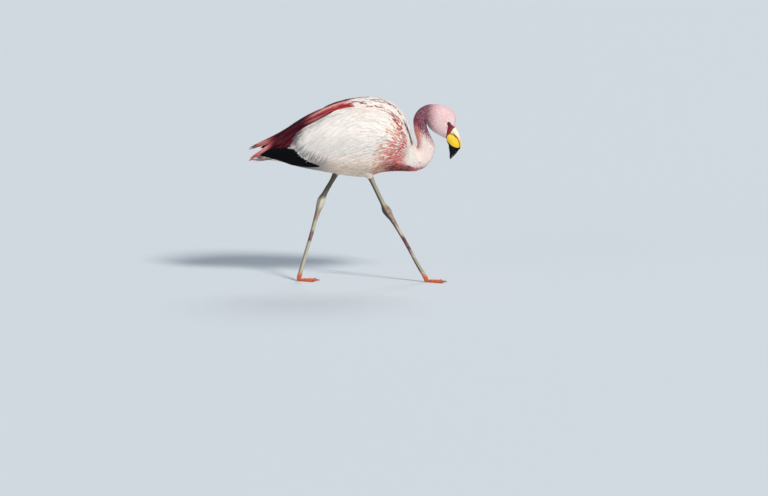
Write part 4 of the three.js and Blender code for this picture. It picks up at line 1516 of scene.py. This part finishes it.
def buildCoat():
    white = plumageFinish("plumageWhite")
    pink = plumageFinish("plumagePink", variation=0.16)
    crimson = plumageFinish("plumageCrimson", variation=0.2, sheen=0.05)
    coat("coat_head", pink, zones["head"], "pink_plumage", wanted=onHead)
    coat("coat_neck", pink, zones["neck"], "pink_plumage")
    coat("coat_breast", white, zones["breast"], coloured=breastColours,
         wanted=lambda place, t, angle: ~onWing(t, angle, 0.06))
    coat("coat_trunk", white, zones["trunk"],
         wanted=lambda place, t, angle: ~onWing(t, angle, 0.1) & (upFromSide(angle) < 62))
    for label, sign in sides.items():
        coat(f"coat_wing_{label}", white, zones["wing"], sized=wingSize,
             wanted=lambda place, t, angle: onWing(t, angle) & (np.sign(np.cos(angle)) == sign))
    coat("coat_scapulars", white, zones["scapular"], wanted=scapularWanted, coloured=scapularColours,
         sized=lambda place, t, angle: 0.6 + 0.45 * smooth(0.85, 0.3, wingPlace(t, angle)[0]))
    coat("coat_streaks", crimson, zones["streaks"], "crimson_plumage", wanted=streakWanted,
         coloured=streakColours)
    coat("coat_mantle", crimson, zones["mantle"], "crimson_plumage", coloured=mantleColours,
         lift=mantleLift, wanted=lambda place, t, angle: (upFromSide(angle) > 50) & (t < 12),
         sized=lambda place, t, angle: 1 + 0.6 * smooth(7, 5, t))
    buildAlongRuns("coat_shoulder", shoulderRuns, shoulder, crimson)
    buildAlongRuns("coat_ridge", ridgeRuns, ridge, crimson)
    buildAlongRuns("coat_margin", gapRuns, gap, white)
    buildFringe(white)


# Long back plumes, flight feathers and tail
plumeRows = {
    "right": [
        (-45, -33, 436, 4, 9), (-68, -34, 425, 11, 20), (-100, -33, 411, 13, 19),
        (-137.5, -29, 392, 13, 15), (-172.5, -25, 368, 12.5, 11), (-200, -21, 349, 11, 8),
        (-227.5, -17, 331, 7.5, 5.5), (-247.5, -14, 318, 4.5, 3.5), (-266, -12, 305, 1.2, 1.4),
    ],
    "left": [
        (-45, 33, 436, 4, 9), (-68, 34, 426, 11, 20), (-100, 33, 413, 13, 19), (-137.5, 29, 393, 13, 15),
        (-172.5, 25, 371, 12, 11), (-200, 22, 358, 10, 8), (-227.5, 19, 347, 7, 5.5),
        (-247.5, 16, 339.5, 4.5, 3.5), (-266, 14, 332.5, 1.2, 1.4),
    ],
}
plumes = {
    "count": 460,
    "locks": 9,  # strands gather into locks towards the tips
    "gather": (4.2, 7.0),  # rows over which they do
    "fan": 4.2,  # mm that the locks part from each other at their ends
    "starts": (0.0, 4.8),  # rows where strands begin
    "lengths": (2.8, 6.0),  # rows that they run
    "last": 8,
    "freeBehind": -182,  # x, in mm, from where they hang clear of the wing
    "slack": 14,  # mm that the crimson goes on below its edge
    "points": 16,
    "width": (1.0, 2.1),
    "thick": 0.25,
}


def buildPlumes(finish):
    for label, rows in plumeRows.items():
        count = plumes["count"]
        turn = random.uniform(0, 2 * np.pi, count)
        out = np.sqrt(random.uniform(0.1, 1, count)) * 0.92
        lock = random.integers(0, plumes["locks"], count)
        lockTurn = (np.arange(plumes["locks"]) * 2.4)[lock]
        lockOut = np.sqrt((np.arange(plumes["locks"]) + 0.5) / plumes["locks"])[lock]
        lockEnd = plumes["last"] - 1.5 * random.random(plumes["locks"])[lock] * (lockOut > 0.3)
        start = random.uniform(*plumes["starts"], count)
        last = lockEnd - 0.5 * random.random(count) ** 2
        end = np.minimum(last, start + random.uniform(*plumes["lengths"], count))
        t = start[:, None] + (end - start)[:, None] * np.linspace(0, 1, plumes["points"])
        middle = between(rows, t)
        gathered = smooth(*plumes["gather"], t)
        fan = plumes["fan"] * smooth(5.5, plumes["last"], t)
        offset = []
        for wave, size in ((np.cos, middle[..., 4]), (np.sin, middle[..., 3])):
            own = (out * wave(turn))[:, None] * size
            lockPlace = (lockOut * wave(lockTurn))[:, None] * (0.8 * size + fan)
            offset.append(own * (1 - 0.75 * gathered) + lockPlace * gathered)
        path = middle[..., :3] + np.stack([0 * t, *offset], -1)
        normal = np.zeros_like(path)
        normal[..., 1] = (out * np.cos(turn))[:, None] + sides[label] * 0.4
        normal[..., 2] = (out * np.sin(turn))[:, None] + 0.35
        red, salmon, dark = bandMarks(path, plumes["slack"])
        own = random.random((count, 1))
        marks = {tint: np.zeros_like(t) for tint in tints}
        marks["flush"] = 0.25 + 0.4 * red
        marks["salmon"] = salmon * (0.35 + 0.65 * own)
        marks["red"] = red * (1 - 0.8 * salmon) * (0.8 + 0.2 * random.random((count, 1)))
        # dark carries the band's painted shade over the top of the back, and some strands are dark at
        # random
        dark = dark * (0.75 + 0.45 * random.random((count, 1))) + 0.8 * (own < 0.2)
        marks["dark"] = np.clip(dark, 0, 1) * red
        above = sideHeight(path) - np.interp(path[..., 0], *zip(*markings["plumeEdge"]))
        over = ((path[..., 0] < plumes["freeBehind"]) | (above > -6)).all(1)
        marks = {tint: mark[over] for tint, mark in marks.items()}
        root = np.stack([start / plumes["last"], turn / (2 * np.pi)], -1)[over]
        half = random.uniform(*plumes["width"], count)[over]
        piece = vanes(f"plumes_of_{label}", path[over], unit(normal)[over], half, plumes["thick"], marks,
                      root, style="broad", materials=[finish])
        finishPiece(piece, "crimson_plumage", f"plumes_{label}")


flight = {
    "count": 10,
    "points": 12,
    "roots": ((-150, -43, 335), (-88, -49, 297)),  # highest and lowest feather
    "tips": ((-237, -24, 320), (-180, -40, 309)),
    "halfWidth": 7.5,
    "thick": 0.4,
    "arch": 5,  # mm that the highest feather bends up
    "fan": 3.0,  # mm sideways from the highest feather to the lowest
    "bow": 2,  # mm that each bends outward
    "leftOutward": 6,
    "leftRise": 12,
}


def buildFlight(finish):
    for label, sign in sides.items():
        q = np.linspace(0, 1, flight["count"])[:, None, None]
        s = np.linspace(0, 1, flight["points"])[None, :, None]
        roots = np.array(flight["roots"][0]) * (1 - q) + np.array(flight["roots"][1]) * q
        tips = np.array(flight["tips"][0]) * (1 - q) + np.array(flight["tips"][1]) * q
        path = roots * (1 - s) + tips * s
        path[..., 2] += (flight["arch"] * np.sin(np.pi * s) * (1 - q))[..., 0]
        sideways = -flight["fan"] / 2 + flight["fan"] * q - flight["bow"] * np.sin(np.pi * s)
        path[..., 1] += sideways[..., 0]
        if sign > 0:
            path = path * (1, -1, 1) + (0, flight["leftOutward"], flight["leftRise"])
        normal = np.zeros_like(path) + (0, sign, 0.25)
        half = np.full(flight["count"], flight["halfWidth"])
        marks = {tint: 0 for tint in tints} | {"black": 1}
        root = np.stack([np.full(flight["count"], 0.5), np.linspace(0.1, 0.9, flight["count"])], -1)
        piece = vanes(f"flight_of_{label}", path, unit(normal), half, flight["thick"], marks, root,
                      kind="blade", style="broad", camber=0.05, materials=[finish])
        finishPiece(piece, "black_plumage", f"flight_feathers_{label}")


tail = {"count": 12, "points": 9, "halfWidth": 6, "thick": 0.4, "rootX": -175, "tipX": -262,
        "rootZ": 318, "drop": 11}


def buildTail(finish):
    count = tail["count"]
    q = np.linspace(-1, 1, count)[:, None]
    s = np.linspace(0, 1, tail["points"])[None]
    path = np.stack([
        tail["rootX"] + (tail["tipX"] + 10 * q**2 - tail["rootX"]) * s,
        q * (8 + 7 * s) * (1 - 0.35 * s**2),
        tail["rootZ"] - tail["drop"] * s - 1.5 * q**2 - 2 * np.abs(q),
    ], -1)
    normal = np.zeros_like(path) + (0.1, 0, 1)
    marks = {tint: 0 for tint in tints} | {"flush": 0.2, "grey": 0.05}
    root = np.stack([np.full(count, 0.5), np.linspace(0.1, 0.9, count)], -1)
    half = np.full(count, tail["halfWidth"])
    piece = vanes("tail_feathers", path, unit(normal), half, tail["thick"], marks, root,
                  kind="blade", style="broad", materials=[finish])
    finishPiece(piece, "plumage", "tail")


# Thighs
thighs = {"points": 5, "length": 10, "width": 2.8, "thick": 0.18, "coat": 2.0}


def buildThighs(finish):
    for label, rows in legRows.items():
        t, angle = [], []
        for k, row in enumerate(np.arange(0.15, thighEnd - 0.1, 0.08)):
            count = int(11 + 26 * smooth(2.2, 0.5, row))
            t.append(np.full(count, row) + random.uniform(-0.03, 0.03, count))
            place = np.arange(count) + 0.5 * (k % 2) + random.uniform(-0.3, 0.3, count)
            angle.append(place * 2 * np.pi / count)
        t, angle = np.concatenate(t), np.concatenate(angle)
        kept = ~insideTrunk(limbPoint(rows, t, angle), 1)
        t, angle = t[kept], angle[kept]
        length = thighs["length"] * random.uniform(0.8, 1.2, len(t)) * (1 - 0.5 * smooth(1.4, 2.0, t))
        start = t
        path, normal = [], []
        for s in np.arange(thighs["points"]) / (thighs["points"] - 1):
            _, _, side, rear, *_ = limbFrame(rows, t)
            grow = -thighs["coat"] * (1 - s) ** 1.3
            path.append(limbPoint(rows, t, angle, grow))
            normal.append(unit(side * np.cos(angle)[:, None] + rear * np.sin(angle)[:, None]))
            run = between(rows, t + 0.05)[:, :3] - between(rows, t - 0.05)[:, :3]
            t = t + length / (thighs["points"] - 1) / (np.linalg.norm(run, axis=-1) * 10)
        path, normal = np.stack(path, 1), np.stack(normal, 1)
        marks = {tint: 0 for tint in tints} | {"flush": 0.06, "buff": 0.5}
        half = thighs["width"] / 2 * random.uniform(0.85, 1.15, len(angle))
        root = np.stack([np.clip(start / 4, 0, 1), angle % (2 * np.pi) / (2 * np.pi)], -1)
        piece = vanes(f"coat_thigh_{label}", path, normal, half, thighs["thick"], marks, root,
                      materials=[finish])
        finishPiece(piece, "plumage")


# Bill: culmen x, z, lower edge x, z, half the width, and the share of the depth that is above the gape
billRows = [
    (251, 388, 227.5, 359, 12.5, 0.58),
    (257, 376.5, 228.5, 354, 12.8, 0.36),
    (261.5, 364.5, 231, 349, 12.6, 0.2),
    (264.5, 351, 233.5, 344, 11.8, 0.13),
    (264, 339, 234, 337, 10, 0.1),
    (258, 330.5, 235, 331, 8, 0.18),
    (251, 321, 236, 324, 5.5, 0.26),
    (243.5, 313.5, 236, 316, 3.2, 0.38),
    (239.5, 308.5, 236.3, 309.5, 1.6, 0.5),
]
bill = {
    "upperWidth": 0.86,
    "gap": 0.35,
    "reachBack": 6.3,  # mm that the horn runs back over the face at the sides
    "rings": 130,
    "sides": 80,
    "yellow": (0.88, 0.61, 0.04),
    "gold": (0.70, 0.36, 0.01),
    "cream": (0.92, 0.84, 0.64),
    "black": (0.003, 0.003, 0.004),
    "nostril": (0.10, 0.07, 0.05),
    "nostrilEnds": ((244.5, 375), (255, 362.5)),  # x, z in mm
    "nostrilHalf": 0.8,
    "nostrilDepth": 1.3,
    "tipMiddle": 257,  # x in mm where the black of the tip reaches up least
    "tipHeight": 0.3334,  # metres, seen from the side
    "tipCurve": 22,
    "yellowFrom": (0.349, 0.362),  # metres
}


def toNostril(x, z):  # distance in side view from the middle line of the slit
    (x0, z0), (x1, z1) = bill["nostrilEnds"]
    run = np.array((x1 - x0, z1 - z0))
    share = np.clip(((x - x0) * run[0] + (z - z0) * run[1]) / (run @ run), 0, 1)
    return np.hypot(x - x0 - share * run[0], z - z0 - share * run[1])


def billRings(upper):
    t = np.linspace(0, len(billRows) - 1, bill["rings"])
    rows = between(billRows, t)
    culmen, under, halfWidth, gape = rows[:, :2], rows[:, 2:4], rows[:, 4], rows[:, 5]
    up = unit(culmen - under)
    depth = np.linalg.norm(culmen - under, axis=-1)
    split = culmen - up * (gape * depth)[:, None]
    gap = bill["gap"] / 2
    top, bottom = (culmen, split + up * gap) if upper else (split - up * gap, under)
    middle, half = (top + bottom) / 2, np.linalg.norm(top - bottom, axis=-1) / 2
    width = halfWidth * (bill["upperWidth"] if upper else 1)
    angle = np.linspace(0, 2 * np.pi, bill["sides"], endpoint=False)
    power = 2 / (2.6 if upper else 2.3)
    y = width[:, None] * signedPower(np.cos(angle), power)
    rise = half[:, None] * signedPower(np.sin(angle), power)
    ahead = np.stack([up[:, 1], -up[:, 0]], -1)
    share = ((culmen - middle) * up).sum(-1)[:, None] - rise
    share = np.clip(share / depth[:, None], 0, 1)
    back = bill["reachBack"] * np.sin(np.pi * share**0.85) * np.maximum(0, 1 - t[:, None] / 1.2) ** 2
    x = middle[:, :1] + up[:, :1] * rise - ahead[:, :1] * back
    z = middle[:, 1:] + up[:, 1:] * rise - ahead[:, 1:] * back
    if upper:
        dent = np.exp(-((toNostril(x, z) / bill["nostrilHalf"]) ** 2)) * bill["nostrilDepth"]
        y = y - np.sign(y) * np.minimum(dent, np.abs(y))
    return np.stack([x, y, z], -1)


def billFinish(name, horn, second, isUpper):
    finish = Finish(name, **{"Specular IOR Level": 0.16})
    place = finish.place()
    x, y, z = finish.axes(place)
    h = z * cosView - abs(y) * sinView
    edge = (x - (bill["tipMiddle"] + shiftX) / 1000) ** 2 * bill["tipCurve"] + bill["tipHeight"]
    tip = 1 - (h - edge + (finish.noise(place, 400) - 0.5) * 0.001).ramp(-0.0004, 0.0006)
    streaks = finish.noise(finish.scaled(place, (1, 0.3, 0.3)), 260, 6)
    base = finish.mix(streaks.ramp(0.35, 0.75) * (0.25 if isUpper else 0.5), horn, second)
    if isUpper:
        base = finish.mix((1 - h.ramp(*bill["yellowFrom"])) * 0.8, base, second)
        base = finish.mix(finish.attribute("nostril"), base, bill["nostril"])
    finish.colour(finish.mix(tip, base, bill["black"]))
    finish.roughness(0.36 + streaks * 0.2 + tip * 0.25)
    finish.bump(streaks, 0.0002, 0.35)
    return finish


def buildBill():
    cream = billFinish("billCream", bill["cream"], bill["yellow"], True)
    yellow = billFinish("billYellow", bill["yellow"], bill["gold"], False)
    upper = tubeMesh("bill_top", billRings(True), materials=[cream])
    x, _, z = meshPoints(upper.data).T
    inner, outer = bill["nostrilHalf"] * 0.7, bill["nostrilHalf"] * 1.3
    addMarks(upper.data, {"nostril": 1 - smooth(inner, outer, toNostril(x, z))})
    lower = tubeMesh("bill_under", billRings(False), materials=[yellow])
    finishPiece(upper, "bill", "bill_upper")
    finishPiece(lower, "bill", "bill_lower")


# Eyes
eyeLook = {
    "pupil": 0.52,  # radians from the eye's axis
    "iris": 0.86,
    "amber": (0.11, 0.04, 0.015),
    "rust": (0.05, 0.018, 0.008),
    "dark": (0.004, 0.003, 0.003),
    "gloss": {"Specular IOR Level": 0.4, "Coat Weight": 0.5, "Coat Roughness": 0.03},
    "outward": (0.2, 1, 0.05),
}


def eyeFinish(label, eye, outside):
    finish = Finish(f"eye_{label}", **eyeLook["gloss"])

    def vector(operation, *values, output=0):
        return finish.node("ShaderNodeVectorMath", {"operation": operation}, values, output)

    aimed = vector("NORMALIZE", vector("SUBTRACT", finish.place(), tuple(toFrame(eye))))
    toward = vector("DOT_PRODUCT", aimed, tuple(outside), output="Value")
    angle = toward.maths("ARCCOSINE", toward)
    rays = finish.noise(finish.scaled(aimed, (9, 9, 9)), 3.0, 5)
    iris = finish.mix(rays.ramp(0.35, 0.65), eyeLook["rust"], eyeLook["amber"])
    pupil = 1 - angle.ramp(eyeLook["pupil"] - 0.03, eyeLook["pupil"] + 0.03)
    rim = angle.ramp(eyeLook["iris"] - 0.06, eyeLook["iris"] + 0.04)
    iris = finish.mix(pupil, iris, eyeLook["dark"])
    finish.colour(finish.mix(rim, iris, eyeLook["dark"]))
    finish.roughness(0.12 + rays * 0.05)
    return finish


def buildEyes():
    for label, sign in sides.items():
        eye = np.array((eyeSpot["x"], sign * eyeY, eyeSpot["z"]))
        outside = np.array(eyeLook["outward"]) * (1, sign, 1)
        outside = outside / np.linalg.norm(outside)
        polar = np.linspace(0.01, np.pi - 0.01, 33)[:, None]
        turn = np.linspace(0, 2 * np.pi, 48, endpoint=False)[None]
        side = unit(np.cross(outside, (0, 0, 1)))
        up = np.cross(side, outside)
        cornea = 1 + 0.045 * np.exp(-((polar / 0.6) ** 2))
        ring = np.cos(turn)[..., None] * side + np.sin(turn)[..., None] * up
        ball = (np.cos(polar) * cornea)[..., None] * outside + (np.sin(polar) * cornea)[..., None] * ring
        rings = eye + ball * eyeSpot["radius"]
        made = tubeMesh(f"eyeball_{label}", rings, materials=[eyeFinish(label, eye, outside)])
        finishPiece(made, "eye", f"eye_{label}")


# Claws
claws = {
    "length": 5.5,
    "sunk": 2.2,  # mm more, inside the toe
    "radius": 1.7,
    "horn": (0.02, 0.015, 0.012),
    "streak": (0.09, 0.06, 0.05),
}


def clawFinish():
    finish = Finish("clawHorn", **{"Specular IOR Level": 0.5})
    grain = finish.noise(finish.scaled(finish.place(), (1, 1, 4)), 500)
    finish.colour(finish.mix(grain, claws["horn"], claws["streak"]))
    finish.roughness(0.35 + grain * 0.2)
    finish.bump(grain, 0.0002, 0.4)
    return finish


def buildClaws():
    finish = clawFinish()
    share = np.linspace(0, 1, 14)
    angle = np.linspace(0, 2 * np.pi, 16, endpoint=False)
    for label in sides:
        parts = []
        for length, splay, _, _ in toes.values():
            degrees = toeHeading(label, splay)
            along, side = heading(degrees), heading(degrees + 90)
            thick = claws["radius"] * (1 - share) ** 0.6 + 0.12
            reach = length - claws["sunk"] + (claws["length"] + claws["sunk"]) * share
            middle = toeRoot(label) + along * reach[:, None]
            middle[:, 2] = thick * 0.8 + 0.6 + 0.9 * np.sin(np.pi * share)
            rings = middle[:, None] + side * (thick[:, None] * 0.8 * np.cos(angle))[..., None]
            rings[..., 2] += thick[:, None] * np.sin(angle)
            parts.append(tubeMesh("claw", rings, materials=[finish]))
        made = joined(f"claws_{label}", parts)
        finishPiece(made, "claw", *(f"claw_{label}_{toe}" for toe in toes))


# Floor
def buildFloor():
    half = studio["floorSize"] / 2
    corners = np.array([(-half, -half, 0), (half, -half, 0), (half, half, 0), (-half, half, 0)])
    finish = Finish("floorPale")
    grain = finish.noise(finish.place(), 4)
    finish.colour(finish.mix(grain * 0.06, studio["floorColour"], studio["floorMottle"]))
    finish.roughness(0.85)
    floor = meshObject("floor", corners, [np.arange(4)[None]], materials=[finish])
    floor.location.z = -studio["floorDrop"]


def setWorld():
    world = bpy.data.worlds.new("studio")
    world.use_nodes = True
    background = world.node_tree.nodes["Background"]
    background.inputs["Color"].default_value = (*studio["worldColour"], 1)
    background.inputs["Strength"].default_value = studio["worldStrength"]
    bpy.context.scene.world = world
    bpy.context.scene.view_settings.view_transform = "Standard"


addCamera()
buildFloor()
setWorld()
for lightName, facts in studio["lights"].items():
    addLight(lightName, *facts)
print("stage: camera, floor and lights")
buildSkin()
print("stage: skin")
buildCoat()
feathers = plumageFinish("plumageLong", variation=0.16, sheen=0.04)
buildThighs(feathers)
print("stage: coat")
buildPlumes(feathers)
buildFlight(plumageFinish("plumageBlack", sheen=0.02))
buildTail(feathers)
print("stage: long feathers")
buildBill()
buildEyes()
buildScutes()
buildClaws()
print("stage: bill, eyes, scutes and claws")
